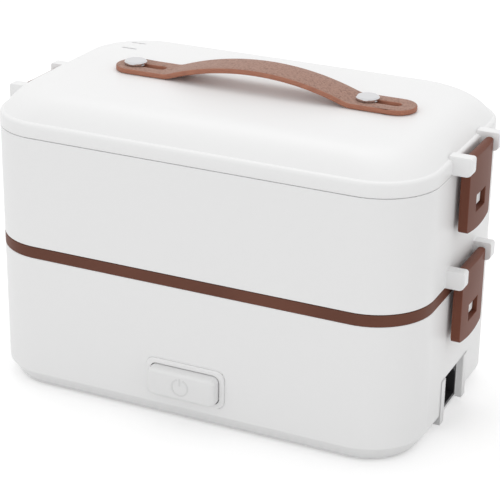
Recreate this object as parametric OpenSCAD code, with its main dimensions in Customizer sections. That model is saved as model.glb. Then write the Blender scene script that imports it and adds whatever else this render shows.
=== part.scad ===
/* [Body] */
// Length of the box over its two ends, without lugs and latches
body_l = 235; // [200:1:280]
// Width of the box from front to back
body_w = 140; // [130:1:170]
// Plan radius of the four upright corners
corner_r = 31; // [28:0.5:36]
// Wall thickness of the moulded shells
wall = 2.4; // [1.8:0.1:3]
// Gap that shows as a dark line between stacked shells
seam = 0.3; // [0.2:0.05:0.6]
// Play left between parts that slip past each other
slip = 0.4; // [0.3:0.05:0.6]
// Radial clearance of pins and shafts in their bores
pin_fit = 0.05; // [0.02:0.01:0.09]

/* [Base] */
// Height of the white base shell above the bottom cover's lower face
base_h = 73.8; // [70:0.2:90]
// Height of the bevel round the foot of the base
bevel_h = 8.2; // [5:0.2:12]
// How far the bevel draws the foot in
bevel_in = 5.8; // [3:0.1:8]
// Height of the brown trim band
band_h = 6.1; // [4:0.1:9]
// Width of the trim band's ring, seen from above
band_t = 4.2; // [3.6:0.1:6]
// Height of the ledge that carries the pan, below the shell's rim
ledge_drop = 1.8; // [1.4:0.1:3]
// Width of the ledge
ledge_w = 4; // [3:0.1:6]
// Thickness of the bottom cover
cover_t = 2.2; // [1.8:0.1:3]
// Diameter of a rubber foot
foot_d = 14; // [10:0.5:18]
// How far a foot stands below the cover
foot_proud = 1.2; // [0.8:0.1:2]
// Depth of the pocket that holds a foot
foot_pocket = 1; // [0.6:0.1:1.2]
// Distance of a foot from the box's middle along the length
foot_x = 72; // [50:1:80]
// Distance of a foot from the box's middle along the width
foot_y = 38; // [25:1:42]

/* [Heating] */
// Height of the pan's floor above the table, outside
pan_floor = 29.2; // [29:0.1:34]
// Sheet thickness of the heating pan
pan_t = 0.8; // [0.5:0.1:1.2]
// Gap between the base shell and the pan's upright wall
pan_gap = 5.3; // [5:0.1:8]
// Corner radius of the pan in plan
pan_r = 24; // [22:0.5:26]
// Thickness of the pan's gasket
gasket_t = 1; // [0.6:0.1:1]
// Length of the aluminium heater plate
heater_l = 140; // [100:1:160]
// Width of the aluminium heater plate
heater_w = 80; // [70:1:90]
// Thickness of the heater plate
heater_t = 5; // [4:0.1:5]
// Diameter of the sheathed heater element
element_d = 6.4; // [5:0.1:7]
// Distance of the element's legs from the middle line
element_y = 22; // [16:0.5:28]
// Diameter of the thermostat's can
thermostat_d = 16; // [12:0.5:20]
// Height of the thermostat's can
thermostat_h = 7; // [5:0.1:8]

/* [Upper tier] */
// Height of the upper tier's outer wall
tier_h = 58.1; // [58:0.1:75]
// Thickness of the upper tier's floor
floor_t = 2.4; // [1.8:0.1:3]
// Depth of the spigot that drops into the trim band
spigot_h = 4; // [3:0.1:4.5]
// Width of a steam slot in the floor
steam_w = 3.4; // [2.4:0.1:3.8]
// Length of a steam slot in the floor
steam_l = 60; // [40:1:80]

/* [Bowls] */
// Sheet thickness of a bowl
bowl_t = 0.8; // [0.5:0.1:1.2]
// Width of a bowl's rim flange
bowl_rim = 3; // [2:0.1:4]
// Room left above a closed lower bowl, up to the upper tier's spigot
low_head = 4.6; // [1:0.1:8]
// Room left above a closed upper bowl, up to the lid's lower edge
high_head = 8.2; // [5:0.1:12]
// Gap between the two bowls of a pair
bowl_gap = 1.6; // [1:0.1:3]
// Gap between a bowl's rim and the wall round it
bowl_play = 0.8; // [0.6:0.1:1.5]
// Height of the bevel at the foot of a bowl
bowl_bevel = 7; // [4:0.5:10]
// Thickness of a bowl lid
bowl_lid_t = 1.8; // [1.4:0.1:2.4]
// Depth of the skirt that drops into the bowl
skirt_h = 3; // [2:0.1:4]
// Diameter of a vent plug's shank
plug_d = 8; // [6:0.1:10]

/* [Lid] */
// Height of the lid's shoulder above its lower edge
shoulder_h = 7.7; // [6:0.1:9]
// Rise of the lid's cushion shape above its shoulder
dome_h = 12; // [8:0.1:13]
// Width over which the cushion shape rises
dome_run = 22; // [16:0.5:26]
// Exponent of the cushion shape: a larger one rises more steeply at the edge
dome_power = 3; // [1.8:0.1:3.2]
// Radius of the rounding at the shoulder
shoulder_r = 2; // [1:0.1:2.4]
// Thickness of the lid's liner
liner_t = 2; // [1.6:0.1:2.4]
// Depth of the liner's plug in the tier
plug_h = 3.6; // [3:0.1:4.4]
// Length of a steam slit in the lid
slit_l = 9; // [6:0.1:12]
// Width of a steam slit in the lid
slit_w = 1.2; // [0.8:0.1:2]

/* [Strap] */
// Length of the strap seen from above
strap_l = 164.5; // [150:0.5:170]
// Width of the strap
strap_w = 20; // [16:0.5:24]
// Thickness of the strap
strap_t = 2.6; // [2:0.1:3.5]
// Rise of the strap's arch
strap_rise = 9; // [7:0.1:12]
// Length of the arch between its flat ends
arch_l = 108; // [80:1:110]
// How far the strap can shift along its studs
strap_travel = 15; // [10:0.5:16]
// Width of the slot at each end of the strap
slot_w = 5; // [4.6:0.1:6]
// Distance of a stud from the lid's middle
stud_x = 64.5; // [60:0.5:68]
// Diameter of a stud's head
stud_d = 11.8; // [9:0.1:14]
// Thickness of a stud's head
stud_t = 2; // [1.6:0.1:2.6]
// Diameter of a stud's shank
shank_d = 4; // [3:0.1:4.2]

/* [Lugs and latches] */
// Width of a latch
latch_w = 34; // [28:0.5:38]
// Thickness of a latch at its middle, also the diameter of its rounded top
latch_t = 5.6; // [5:0.1:6.2]
// How far the latch reaches below the lug's lower edge
latch_drop = 32.5; // [28:0.5:36]
// Radius of the latch's outer face, seen from above
latch_face_r = 180; // [150:1:300]
// Gap between a latch and the lug beside it
latch_play = 0.8; // [0.4:0.1:1.2]
// Thickness of one lug
lug_t = 6; // [5:0.1:8]
// How far a lug stands out of the end wall
lug_out = 9.7; // [8.6:0.1:10.4]
// Height of a lug
lug_h = 9.6; // [9:0.1:10.4]
// Radius of a lug's lower outer edge
lug_r = 3; // [1.5:0.1:3.4]
// Height of the latch pin above the lug's lower edge
pivot_up = 4.7; // [4.3:0.05:5.2]
// Distance of the latch pin from the end wall
pivot_out = 5.1; // [5:0.05:5.6]
// Diameter of a latch pin
pin_d = 2.4; // [2:0.1:2.6]
// How deep the pin's blind bore reaches into a lug
pin_bite = 4; // [2:0.1:4.5]
// Width of the window in the latch
window_w = 13.4; // [8:0.1:16]
// Height of the window in the latch
window_h = 8.8; // [7:0.1:11]
// Distance of the window's upper edge below the lug's lower edge
window_drop = 14.4; // [12:0.1:16]
// How far the catch reaches into the window
catch_bite = 3.2; // [0.8:0.1:3.4]
// Gap between the catch and the window's edges
catch_gap = 0.8; // [0.7:0.05:1]

/* [Button] */
// Width of the button's bezel
bezel_w = 43.6; // [36:0.2:50]
// Height of the button's bezel
bezel_h = 20.8; // [18:0.1:22]
// How far the bezel stands out of the front
bezel_out = 1.3; // [0.8:0.1:1.8]
// Width of the button cap
cap_w = 37.8; // [30:0.2:40]
// Height of the button cap
cap_h = 15.2; // [12:0.1:16]
// How far the cap stands out of the front
cap_out = 2.9; // [2.4:0.1:3.2]
// Travel of the button
button_travel = 1.5; // [0.8:0.1:1.6]
// Height of the button's middle above the table
button_z = 24.2; // [23:0.1:25]
// Height of the push switch's middle above the table
switch_z = 22.6; // [21:0.1:23]
// Wire diameter of the button's spring
wire_d = 0.7; // [0.5:0.05:0.9]
// Mean diameter of the button's spring
coil_d = 9.6; // [9:0.1:10]
// Turns of the button's spring
coil_turns = 5; // [3:1:6]

/* [Inlet] */
// Width of the recess in the right end
recess_w = 28; // [27.8:0.1:30]
// Depth of the recess
recess_d = 3; // [2:0.1:6]
// Height of the recess above the table
recess_top = 28.3; // [27:0.1:28.4]
// Thickness of a cheek beside the recess
cheek_t = 5.5; // [4:0.1:7]
// How far a cheek stands out of the end wall
cheek_out = 0.5; // [0.2:0.1:1]
// Width of the appliance inlet's face
inlet_w = 27.4; // [27:0.1:27.4]
// Height of the appliance inlet's face
inlet_h = 20; // [19:0.1:20.4]
// Depth of the inlet's body behind its face
inlet_l = 17.5; // [16:0.1:20]
// Width of the socket cavity
cavity_w = 24.4; // [24:0.1:24.6]
// Height of the socket cavity
cavity_h = 16.4; // [16:0.1:16.6]
// Depth of the socket cavity
cavity_l = 14; // [13:0.1:15]
// Height of the inlet's middle above the table
inlet_z = 15.2; // [15:0.1:15.4]

/* [Hidden] */
$fn = 64;

eps = 0.01;
white = "#f0efed";
brown = "#74473a";
tan = "#a87f6c";
steel = "#c9ccce";

// Levels above the table
cover_z = foot_proud;
base_top = cover_z + base_h;
band_top = base_top + band_h;
tier_z = band_top + seam;
tier_top = tier_z + tier_h;
lid_z = tier_top + seam;
shoulder_z = lid_z + shoulder_h;
plateau_z = shoulder_z + dome_h;
floor_z = tier_z + floor_t;
ledge_z = base_top - ledge_drop;
pan_top = ledge_z + gasket_t + pan_t;

// Half sizes
half_l = body_l / 2;
half_w = body_w / 2;
inner_r = corner_r - wall;

// Strap and studs
strap_gap = 0.2;
strap_z = plateau_z + strap_gap;
stud_z = strap_z + strap_t + strap_gap;
strap_x = strap_travel / 2;
slot_in = stud_x - strap_travel / 2;
nut_w = 7;
nut_h = 3.2;

// Lugs, latches and catches
lug_y = latch_w / 2 + latch_play;
lug_root = wall - 0.4;
pivot_x = half_l + pivot_out;
pin_l = 2 * (lug_y + pin_bite);
latch_in = pivot_x - latch_t / 2;
latch_end_r = 4;
latch_relief = 0.1;
latch_smile_r = 110;
catch_slope = 0.68;
catch_lip = 0.8;
catch_ease = 0.15;

// Fasteners
screw_d = 3;
screw_head_d = 6;
screw_head_h = 1.2;
drive_w = 3;
drive_slot = 0.8;
boss_d = 7;
post_in = 24;
post_x = half_l - post_in;
post_y = half_w - post_in;
liner_screw_l = 8;
cover_screw_l = 12;
cover_screw_x = half_l - 19.5;
cover_screw_y = half_w - 22;

// Lid
dome_steps = 10;
slit_x = post_in + 7.5 - half_l;
slit_rows = [post_y - 14, post_y - 3];
seal_t = 1.6;
seal_drop = 2.2;
strap_steps = 12;

// Bowls
rest_gap = 0.2;
seal_h = 1.2;
seal_in = 0.5;
skirt_gap = 1.2;
plug_lip = 1.4;
plug_cap = 2.4;
plug_rise = 1.4;

// Heater
heater_r = 10;
element_left = 4 - heater_l / 2;
element_bend = heater_l / 2 - element_y - 12;
cold_pin_d = 2.4;
cold_pin_l = 10;
under_z = pan_floor - heater_t;
flange_ear = 9;
flange_l = thermostat_d + 2 * flange_ear;
flange_t = 0.6;
tab_t = 0.8;
tab_w = 4.8;
tab_l = 5;
tab_x = thermostat_d / 2 - 2.4;
tab_z = under_z - thermostat_h - tab_l / 2;
fuse_d = 4;
fuse_l = 12;
fuse_gap = 20;
fuse_x = -thermostat_d / 2 - fuse_gap;
fuse_wire = 1;
fuse_reach = 10;
fuse_z = under_z - 2.6;
earth_in = 6;
earth_drop = 10;

// Button
cap_r = 3.2;
bezel_r = 4.6;
flange_out = 1.2;
cap_back = -half_w + wall + 0.8;
post_d = 4;
board_y = -half_w + 13;
board_w = 46;
board_low = 13;
board_high = 28.4;
board_t = 1.6;
switch_face = board_y - 5;
switch_w = 6;
knob_h = 1.6;
lamp_x = 10;
lamp_d = 3;
coil_steps = 14;
wire_sides = 6;

// Inlet and leads
inlet_x = half_l - recess_d;
pin_places = [[-7, -2], [7, -2], [0, 2]];
blade_w = 2;
blade_h = 4;
blade_in = 5;
blade_out = 3;
inlet_screw_d = 2.4;
inlet_head_d = 4.6;
cover_in = 0.6;
lead_d = 2.6;
lead_bend = 5;
terminal_x = inlet_x - blade_in - inlet_l - blade_out;
cold_pin_x = element_left - 6;

// One solid whose outline is a rounded rectangle at each [inset, z] of its profile
module form(l, w, r, prof) {
    low = prof[0][1];
    high = prof[len(prof) - 1][1];
    last = len(prof) - 1;
    rotate([90, 0, 90])
        linear_extrude(height = l - 2 * r, center = true)
            polygon(concat([for (p = prof) [w / 2 - p[0], p[1]]],
                [for (i = [last:-1:0]) [prof[i][0] - w / 2, prof[i][1]]]));
    rotate([90, 0, 0])
        linear_extrude(height = w - 2 * r, center = true)
            polygon(concat([for (p = prof) [l / 2 - p[0], p[1]]],
                [for (i = [last:-1:0]) [prof[i][0] - l / 2, prof[i][1]]]));
    for (sx = [-1, 1], sy = [-1, 1])
        translate([sx * (l / 2 - r), sy * (w / 2 - r), 0])
            rotate_extrude()
                polygon(concat([[0, low]], [for (p = prof) [r - p[0], p[1]]], [[0, high]]));
}

// Upright prism on a rounded rectangle
module slab(l, w, r, z0, z1) {
    translate([0, 0, z0])
        linear_extrude(height = z1 - z0)
            outline(l, w, r);
}

module outline(l, w, r) {
    square([l - 2 * r, w], center = true);
    square([l, w - 2 * r], center = true);
    for (sx = [-1, 1], sy = [-1, 1])
        translate([sx * (l / 2 - r), sy * (w / 2 - r)])
            circle(r = r);
}

// Ring between two rounded rectangles; inset is measured from the body's outer wall
module band(inset_out, inset_in, z0, z1) {
    difference() {
        inset_slab(inset_out, z0, z1);
        inset_slab(inset_in, z0 - 1, z1 + 1);
    }
}

module inset_slab(inset, z0, z1) {
    slab(body_l - 2 * inset, body_w - 2 * inset, corner_r - inset, z0, z1);
}

module both_ends() {
    for (s = [0, 180])
        rotate([0, 0, s])
            children();
}

module four_corners(x, y) {
    for (sx = [-1, 1], sy = [-1, 1])
        translate([sx * x, sy * y, 0])
            children();
}

// Cylinder along X from x0 to x1
module rod_x(d, x0, x1, y, z) {
    translate([x0, y, z])
        rotate([0, 90, 0])
            cylinder(d = d, h = x1 - x0);
}

// Cylinder along Y from y0 to y1
module rod_y(d, y0, y1, x, z) {
    translate([x, y1, z])
        rotate([90, 0, 0])
            cylinder(d = d, h = y1 - y0);
}

// Lug pair on the +X end: blocks with rounded outer edges and one blind bore across both
module lugs(z) {
    difference() {
        translate([0, 0, z])
            for (s = [-1, 1])
                translate([0, s * (lug_y + lug_t / 2), 0])
                    rotate([90, 0, 0])
                        linear_extrude(height = lug_t, center = true)
                            lug_side();
        pin_bore(z);
    }
}

module pin_bore(z) {
    rod_y(pin_d + 2 * pin_fit, -pin_l / 2 - pin_fit, pin_l / 2 + pin_fit, pivot_x, z + pivot_up);
}

module lug_side() {
    top_r = 1.4;
    out = half_l + lug_out;
    difference() {
        translate([half_l - lug_root, 0])
            square([lug_out + lug_root, lug_h]);
        translate([out - lug_r, 0])
            difference() {
                translate([0, -eps])
                    square([lug_r + eps, lug_r + eps]);
                translate([0, lug_r])
                    circle(r = lug_r);
            }
        translate([out - top_r, lug_h - top_r])
            difference() {
                square(top_r + eps);
                circle(r = top_r);
            }
    }
}

// Catch on the +X end that the window of the latch above hooks over
module catch_block(z_parent) {
    low = z_parent - window_drop - window_h + catch_gap;
    high = z_parent - window_drop - catch_gap;
    face = latch_in + catch_bite;
    tip = max(0, min(catch_bite, catch_lip) - catch_gap * catch_slope + catch_ease);
    width = window_w - 2 * catch_gap;
    rotate([90, 0, 0])
        linear_extrude(height = width, center = true)
            polygon([[half_l - lug_root, low], [face - tip, low], [face, low + tip / catch_slope], [face, high],
                [half_l - lug_root, high]]);
}

// Latch on the +X end, hanging from the lugs whose lower edge is at z
module latch(z) {
    top = pivot_up + latch_t / 2;
    color(brown)
        difference() {
            intersection() {
                translate([latch_in, 0, z - latch_drop - 1])
                    linear_extrude(height = latch_drop + top + 2)
                        latch_plan();
                translate([latch_in - 1, 0, z])
                    rotate([90, 0, 90])
                        linear_extrude(height = latch_t + 2)
                            latch_front(top);
                translate([0, latch_w / 2 + 1, z])
                    rotate([90, 0, 0])
                        linear_extrude(height = latch_w + 2)
                            latch_side();
            }
            rod_y(pin_d + 2 * pin_fit, -latch_w, latch_w, pivot_x, z + pivot_up);
            translate([0, 0, z - window_drop - window_h])
                latch_window();
        }
}

// Window whose sill slopes down inwards, so that it rises past the catch as the latch swings out
module latch_window() {
    sill = latch_in + max(0, catch_bite - catch_lip);
    back = latch_in - 1;
    rotate([90, 0, 0])
        linear_extrude(height = window_w, center = true)
            polygon([[back, (back - sill) / catch_slope], [sill, 0], [latch_in + latch_t + 1, 0],
                [latch_in + latch_t + 1, window_h], [back, window_h]]);
}

// Section from above, with its slightly bowed outer face; x starts at the inner face
module latch_plan() {
    intersection() {
        translate([0, -latch_w / 2])
            square([latch_t, latch_w]);
        translate([latch_t - latch_relief - latch_face_r, 0])
            circle(r = latch_face_r, $fn = 360);
    }
}

// Outline from the end: straight sides, rounded lower corners and a smiling lower edge
module latch_front(top) {
    height = latch_drop + top + 1;
    intersection() {
        translate([0, latch_smile_r - latch_drop])
            circle(r = latch_smile_r, $fn = 256);
        union() {
            translate([0, height / 2 - latch_drop])
                outline(latch_w, height, latch_end_r);
            translate([-latch_w / 2, 0])
                square([latch_w, top + 1]);
        }
    }
}

// Outline from the side: plate with a round top about the pin
module latch_side() {
    translate([latch_in, -latch_drop])
        square([latch_t, latch_drop + pivot_up]);
    translate([pivot_x, pivot_up])
        circle(d = latch_t);
}

module latch_pin(z) {
    color(steel)
        rod_y(pin_d, -pin_l / 2, pin_l / 2, pivot_x, z + pivot_up);
}

// Outer profile of the lid: side band, rounded shoulder, cushion shape up to the plateau
function dome_profile(inset, lift) = concat(
    [[inset, lid_z - lift], [inset, shoulder_z - shoulder_r - lift]],
    [for (a = [30:30:60]) [inset + shoulder_r * (1 - cos(a)), shoulder_z - shoulder_r * (1 - sin(a)) - lift]],
    [for (i = [0:dome_steps]) [inset + shoulder_r + dome_run * i / dome_steps,
        shoulder_z + dome_h * (1 - pow(1 - i / dome_steps, dome_power)) - lift]]);

module lid_shell() {
    color(white)
        difference() {
            union() {
                difference() {
                    form(body_l, body_w, corner_r, dome_profile(0, 0));
                    form(body_l, body_w, corner_r, dome_profile(wall, wall));
                }
                both_ends()
                    lugs(lid_z);
                four_corners(post_x, post_y)
                    translate([0, 0, lid_z + liner_t])
                        cylinder(d = boss_d, h = plateau_z - wall / 2 - lid_z - liner_t);
            }
            both_ends()
                pin_bore(lid_z);
            four_corners(post_x, post_y)
                translate([0, 0, lid_z])
                    cylinder(d = screw_d + 2 * pin_fit, h = liner_screw_l + 1);
            for (s = [-1, 1])
                translate([s * stud_x, 0, plateau_z - wall - 1])
                    cylinder(d = shank_d + 2 * pin_fit, h = wall + 2);
            for (y = slit_rows)
                translate([slit_x, y, plateau_z])
                    cube([slit_l, slit_w, 3 * wall], center = true);
        }
}

module lid_liner() {
    plug_in = wall + slip + seal_t;
    color("#e4e2dc")
        difference() {
            union() {
                inset_slab(wall + slip, lid_z, lid_z + liner_t);
                inset_slab(plug_in, lid_z - plug_h, lid_z + eps);
            }
            inset_slab(plug_in + wall, lid_z - plug_h - 1, lid_z);
            four_corners(post_x, post_y)
                translate([0, 0, lid_z - 1]) {
                    cylinder(d = screw_d + 2 * pin_fit, h = liner_t + 2);
                    cylinder(d = screw_head_d + 2 * pin_fit, h = 1 + screw_head_h);
                }
        }
}

module lid_seal() {
    color("#d8d5cf")
        band(wall + slip, wall + slip + seal_t, lid_z - seam - seal_drop, lid_z - seam);
}

module liner_screws() {
    color(steel)
        four_corners(post_x, post_y)
            translate([0, 0, lid_z])
                difference() {
                    union() {
                        cylinder(d = screw_head_d, h = screw_head_h);
                        cylinder(d = screw_d, h = liner_screw_l);
                    }
                    drive_cross();
                }
}

// Cross recess in a screw head that faces down
module drive_cross() {
    for (a = [0, 90])
        rotate([0, 0, a])
            cube([drive_w, drive_slot, screw_head_h], center = true);
}

// The strap is an arched sheet cut to the strap's outline, with a slot at each end
module handle_strap() {
    color(tan)
        intersection() {
            translate([strap_x, strap_w, strap_z])
                rotate([90, 0, 0])
                    linear_extrude(height = 2 * strap_w)
                        strap_side();
            translate([strap_x, 0, strap_z - 1])
                linear_extrude(height = strap_rise + strap_t + 2)
                    strap_plan();
        }
}

module strap_plan() {
    difference() {
        outline(strap_l, strap_w, strap_w / 2 - eps);
        for (s = [-1, 1]) {
            for (x = [slot_in, slot_in + strap_travel])
                translate([s * x, 0])
                    circle(d = slot_w);
            translate([s * (slot_in + strap_travel / 2), 0])
                square([strap_travel, slot_w], center = true);
        }
    }
}

// Two equal arcs on each side carry the strap from its flat ends to the apex
function arch_r() = (pow(arch_l / 2, 2) + pow(strap_rise, 2)) / (4 * strap_rise);
function arch_angle() = 2 * atan2(strap_rise, arch_l / 2);
function arch_left() = concat(
    [for (i = [0:strap_steps]) let (a = arch_angle() * i / strap_steps)
        [[-arch_l / 2 + arch_r() * sin(a), arch_r() * (1 - cos(a))], a]],
    [for (i = [strap_steps - 1:-1:0]) let (a = arch_angle() * i / strap_steps)
        [[-arch_r() * sin(a), strap_rise - arch_r() * (1 - cos(a))], a]]);

module strap_side() {
    left = arch_left();
    n = len(left) - 1;
    under = concat([[-strap_l / 2 - 1, 0]], [for (p = left) p[0]],
        [for (i = [n - 1:-1:0]) [-left[i][0][0], left[i][0][1]]], [[strap_l / 2 + 1, 0]]);
    over = concat([[-strap_l / 2 - 1, strap_t]],
        [for (p = left) p[0] + strap_t * [-sin(p[1]), cos(p[1])]],
        [for (i = [n - 1:-1:0]) [-left[i][0][0] + strap_t * sin(left[i][1]),
            left[i][0][1] + strap_t * cos(left[i][1])]], [[strap_l / 2 + 1, strap_t]]);
    last = len(over) - 1;
    polygon(concat(under, [for (i = [last:-1:0]) over[i]]));
}

module strap_studs() {
    edge = 0.7;
    color(steel)
        for (s = [-1, 1])
            translate([s * stud_x, 0, 0])
                rotate_extrude()
                    polygon([[0, plateau_z - wall - nut_h - 1], [shank_d / 2, plateau_z - wall - nut_h - 1],
                        [shank_d / 2, stud_z], [stud_d / 2 - edge / 2, stud_z], [stud_d / 2, stud_z + edge],
                        [stud_d / 2, stud_z + stud_t - edge], [stud_d / 2 - edge, stud_z + stud_t],
                        [0, stud_z + stud_t]]);
}

module stud_nuts() {
    color(steel)
        for (s = [-1, 1])
            translate([s * stud_x, 0, plateau_z - wall - nut_h])
                difference() {
                    cylinder(d = nut_w / cos(30), h = nut_h, $fn = 6);
                    translate([0, 0, -1])
                        cylinder(d = shank_d + 2 * pin_fit, h = nut_h + 2);
                }
}

// The +X latch and pin, turned about the middle for the left end
module on_end(left) {
    rotate([0, 0, left ? 180 : 0])
        children();
}

module upper_tier() {
    spigot_in = band_t + slip;
    color(white)
        difference() {
            union() {
                inset_slab(0, tier_z, tier_top);
                inset_slab(spigot_in, tier_z - spigot_h, tier_z + eps);
                both_ends() {
                    lugs(tier_z);
                    catch_block(lid_z);
                }
            }
            inset_slab(wall, floor_z, tier_top + 1);
            inset_slab(spigot_in + wall, tier_z - spigot_h - 1, tier_z);
            both_ends()
                pin_bore(tier_z);
            for (sx = [-1, 1], row = [-2:2])
                translate([sx * bowl_cell_l() / 2, row * 5 * steam_w, floor_z])
                    cube([steam_l, steam_w, 3 * floor_t], center = true);
        }
}

module tier_seal() {
    color("#d8d5cf")
        band(band_t + slip, band_t + slip + wall, pan_top + seam, tier_z - spigot_h);
}

// Space for one bowl of a pair
function bowl_cell_l() = half_l - wall;
function tier_bowl_l() = half_l - wall - bowl_play - bowl_gap / 2;
function tier_bowl_w() = body_w - 2 * (wall + bowl_play);
function pan_inset() = wall + pan_gap;
function pan_bowl_l() = half_l - pan_inset() - pan_t - bowl_play - bowl_gap / 2;
function pan_bowl_w() = body_w - 2 * (pan_inset() + pan_t + bowl_play);
function tier_bowl_r() = inner_r - bowl_play;
function pan_bowl_r() = pan_r - pan_t - bowl_play;
function closed_rise() = rest_gap + seal_h + bowl_lid_t + plug_rise;
function tier_bowl_h() = lid_z - high_head - closed_rise() - floor_z - rest_gap;
function pan_bowl_h() = tier_z - spigot_h - low_head - closed_rise() - pan_floor - pan_t - rest_gap;

module high_place(side) {
    translate([side * (tier_bowl_l() + bowl_gap) / 2, 0, floor_z + rest_gap])
        children();
}

module low_place(side) {
    translate([side * (pan_bowl_l() + bowl_gap) / 2, 0, pan_floor + pan_t + rest_gap])
        children();
}

// Bowl with a bevelled foot and a flat rim; its underside is at z = 0
module bowl(l, w, r, h) {
    color(steel)
        difference() {
            union() {
                form(l, w, r, [[bowl_rim + bowl_bevel / 2, 0], [bowl_rim, bowl_bevel], [bowl_rim, h]]);
                slab(l, w, r, h - bowl_t, h);
            }
            form(l, w, r, [[bowl_rim + bowl_t + bowl_bevel / 2, bowl_t],
                [bowl_rim + bowl_t, bowl_bevel + bowl_t / 2], [bowl_rim + bowl_t, h + 1]]);
        }
}

// Lid of a bowl whose rim is at height h
module bowl_lid(l, w, r, h) {
    under = h + rest_gap + seal_h;
    skirt_in = bowl_rim + bowl_t + skirt_gap;
    color("#efeeea")
        difference() {
            union() {
                slab(l, w, r, under, under + bowl_lid_t);
                slab(l - 2 * skirt_in, w - 2 * skirt_in, r - skirt_in, h - skirt_h, under + eps);
            }
            slab(l - 2 * skirt_in - 2 * wall, w - 2 * skirt_in - 2 * wall, r - skirt_in - wall,
                h - skirt_h - 1, under);
            translate([0, 0, under - 1])
                cylinder(d = plug_d + 2 * pin_fit, h = bowl_lid_t + 2);
        }
}

module bowl_seal(l, w, r, h) {
    skirt_in = bowl_rim + bowl_t + skirt_gap;
    color("#d8d5cf")
        difference() {
            slab(l - 2 * seal_in, w - 2 * seal_in, r - seal_in, h + rest_gap, h + rest_gap + seal_h);
            slab(l - 2 * skirt_in, w - 2 * skirt_in, r - skirt_in, h - 1, h + rest_gap + seal_h + 1);
        }
}

// Silicone vent plug: shank through the lid, head above and a lip below
module vent_plug(h) {
    under = h + rest_gap + seal_h;
    top = under + bowl_lid_t;
    color("#c9c5be")
        rotate_extrude()
            polygon([[0, under - plug_lip], [plug_d / 2 - plug_lip / 2, under - plug_lip],
                [plug_d / 2 + plug_lip / 2, under], [plug_d / 2, under], [plug_d / 2, top],
                [plug_d / 2 + plug_cap, top], [plug_d / 2 + plug_cap, top + plug_rise / 2],
                [plug_d / 2 + plug_cap - plug_rise / 2, top + plug_rise], [0, top + plug_rise]]);
}

module high_bowl() {
    bowl(tier_bowl_l(), tier_bowl_w(), tier_bowl_r(), tier_bowl_h());
}

module high_bowl_lid() {
    bowl_lid(tier_bowl_l(), tier_bowl_w(), tier_bowl_r(), tier_bowl_h());
}

module high_bowl_seal() {
    bowl_seal(tier_bowl_l(), tier_bowl_w(), tier_bowl_r(), tier_bowl_h());
}

module low_bowl() {
    bowl(pan_bowl_l(), pan_bowl_w(), pan_bowl_r(), pan_bowl_h());
}

module low_bowl_lid() {
    bowl_lid(pan_bowl_l(), pan_bowl_w(), pan_bowl_r(), pan_bowl_h());
}

module low_bowl_seal() {
    bowl_seal(pan_bowl_l(), pan_bowl_w(), pan_bowl_r(), pan_bowl_h());
}

module trim_band() {
    color(brown)
        band(0, band_t, base_top, band_top);
}

// Recess for the inlet and the cheeks that frame it run down past the bevel
module base_shell() {
    color(white)
        difference() {
            union() {
                difference() {
                    form(body_l, body_w, corner_r, [[bevel_in, cover_z], [0, cover_z + bevel_h],
                        [0, base_top]]);
                    form(body_l, body_w, corner_r, [[bevel_in + wall, cover_z - eps],
                        [wall, cover_z + bevel_h + wall / 2], [wall, ledge_z - ledge_w]]);
                    form(body_l, body_w, corner_r, [[wall, ledge_z - ledge_w - eps],
                        [wall + ledge_w, ledge_z - eps], [wall + ledge_w, ledge_z + eps]]);
                    inset_slab(wall, ledge_z, base_top + 1);
                }
                both_ends()
                    catch_block(tier_z);
                inlet_frame();
                four_corners(cover_screw_x, cover_screw_y)
                    cover_boss();
                boss_ribs();
            }
            translate([inlet_x, -recess_w / 2, cover_z - 1])
                cube([recess_d + cheek_out + 1, recess_w, recess_top - cover_z + 1]);
            translate([inlet_x - 2 * wall, -inlet_w / 2 - pin_fit, inlet_z - inlet_h / 2 - pin_fit])
                cube([3 * wall, inlet_w + 2 * pin_fit, inlet_h + 2 * pin_fit]);
            four_corners(cover_screw_x, cover_screw_y)
                translate([0, 0, cover_z])
                    cylinder(d = screw_d + 2 * pin_fit, h = cover_screw_l + 2);
            translate([-sleeve_w() / 2 - pin_fit, -half_w - 2, button_z - sleeve_h() / 2 - pin_fit])
                cube([sleeve_w() + 2 * pin_fit, wall + 4, sleeve_h() + 2 * pin_fit]);
        }
}

function sleeve_w() = bezel_w - 2.4;
function sleeve_h() = bezel_h - 2.4;

// Walls round the recess and the two cheeks
module inlet_frame() {
    low = cover_z + cover_t + slip;
    for (s = [-1, 1])
        translate([inlet_x - wall, s * (recess_w + cheek_t) / 2 - cheek_t / 2, low])
            cube([recess_d + wall + cheek_out, cheek_t, recess_top - low]);
    translate([inlet_x - wall, -recess_w / 2 - eps, low])
        cube([wall, recess_w + 2 * eps, recess_top - low]);
    translate([inlet_x - wall, -recess_w / 2 - cheek_t, recess_top - eps])
        cube([recess_d + 1, recess_w + 2 * cheek_t, 1]);
}

// Boss for a cover screw
module cover_boss() {
    low = cover_z + cover_t;
    translate([0, 0, low])
        cylinder(d = boss_d, h = pan_floor - 2 - low);
}

// Ribs that join the bosses to the end walls
module boss_ribs() {
    low = cover_z + bevel_h + 1;
    high = pan_floor - 2;
    rib_l = half_l - wall - cover_screw_x;
    for (sx = [-1, 1], sy = [-1, 1])
        translate([sx * (cover_screw_x + rib_l / 2), sy * cover_screw_y, (low + high) / 2])
            cube([rib_l, 2, high - low], center = true);
}

module heating_pan() {
    inset = pan_inset();
    color(steel)
        difference() {
            union() {
                slab(body_l - 2 * inset, body_w - 2 * inset, pan_r, pan_floor, pan_top);
                inset_slab(wall + slip, pan_top - pan_t, pan_top);
            }
            slab(body_l - 2 * inset - 2 * pan_t, body_w - 2 * inset - 2 * pan_t, pan_r - pan_t,
                pan_floor + pan_t, pan_top + 1);
        }
}

module pan_gasket() {
    color("#d8d5cf")
        band(wall + slip, wall + ledge_w, ledge_z, ledge_z + gasket_t);
}

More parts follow.
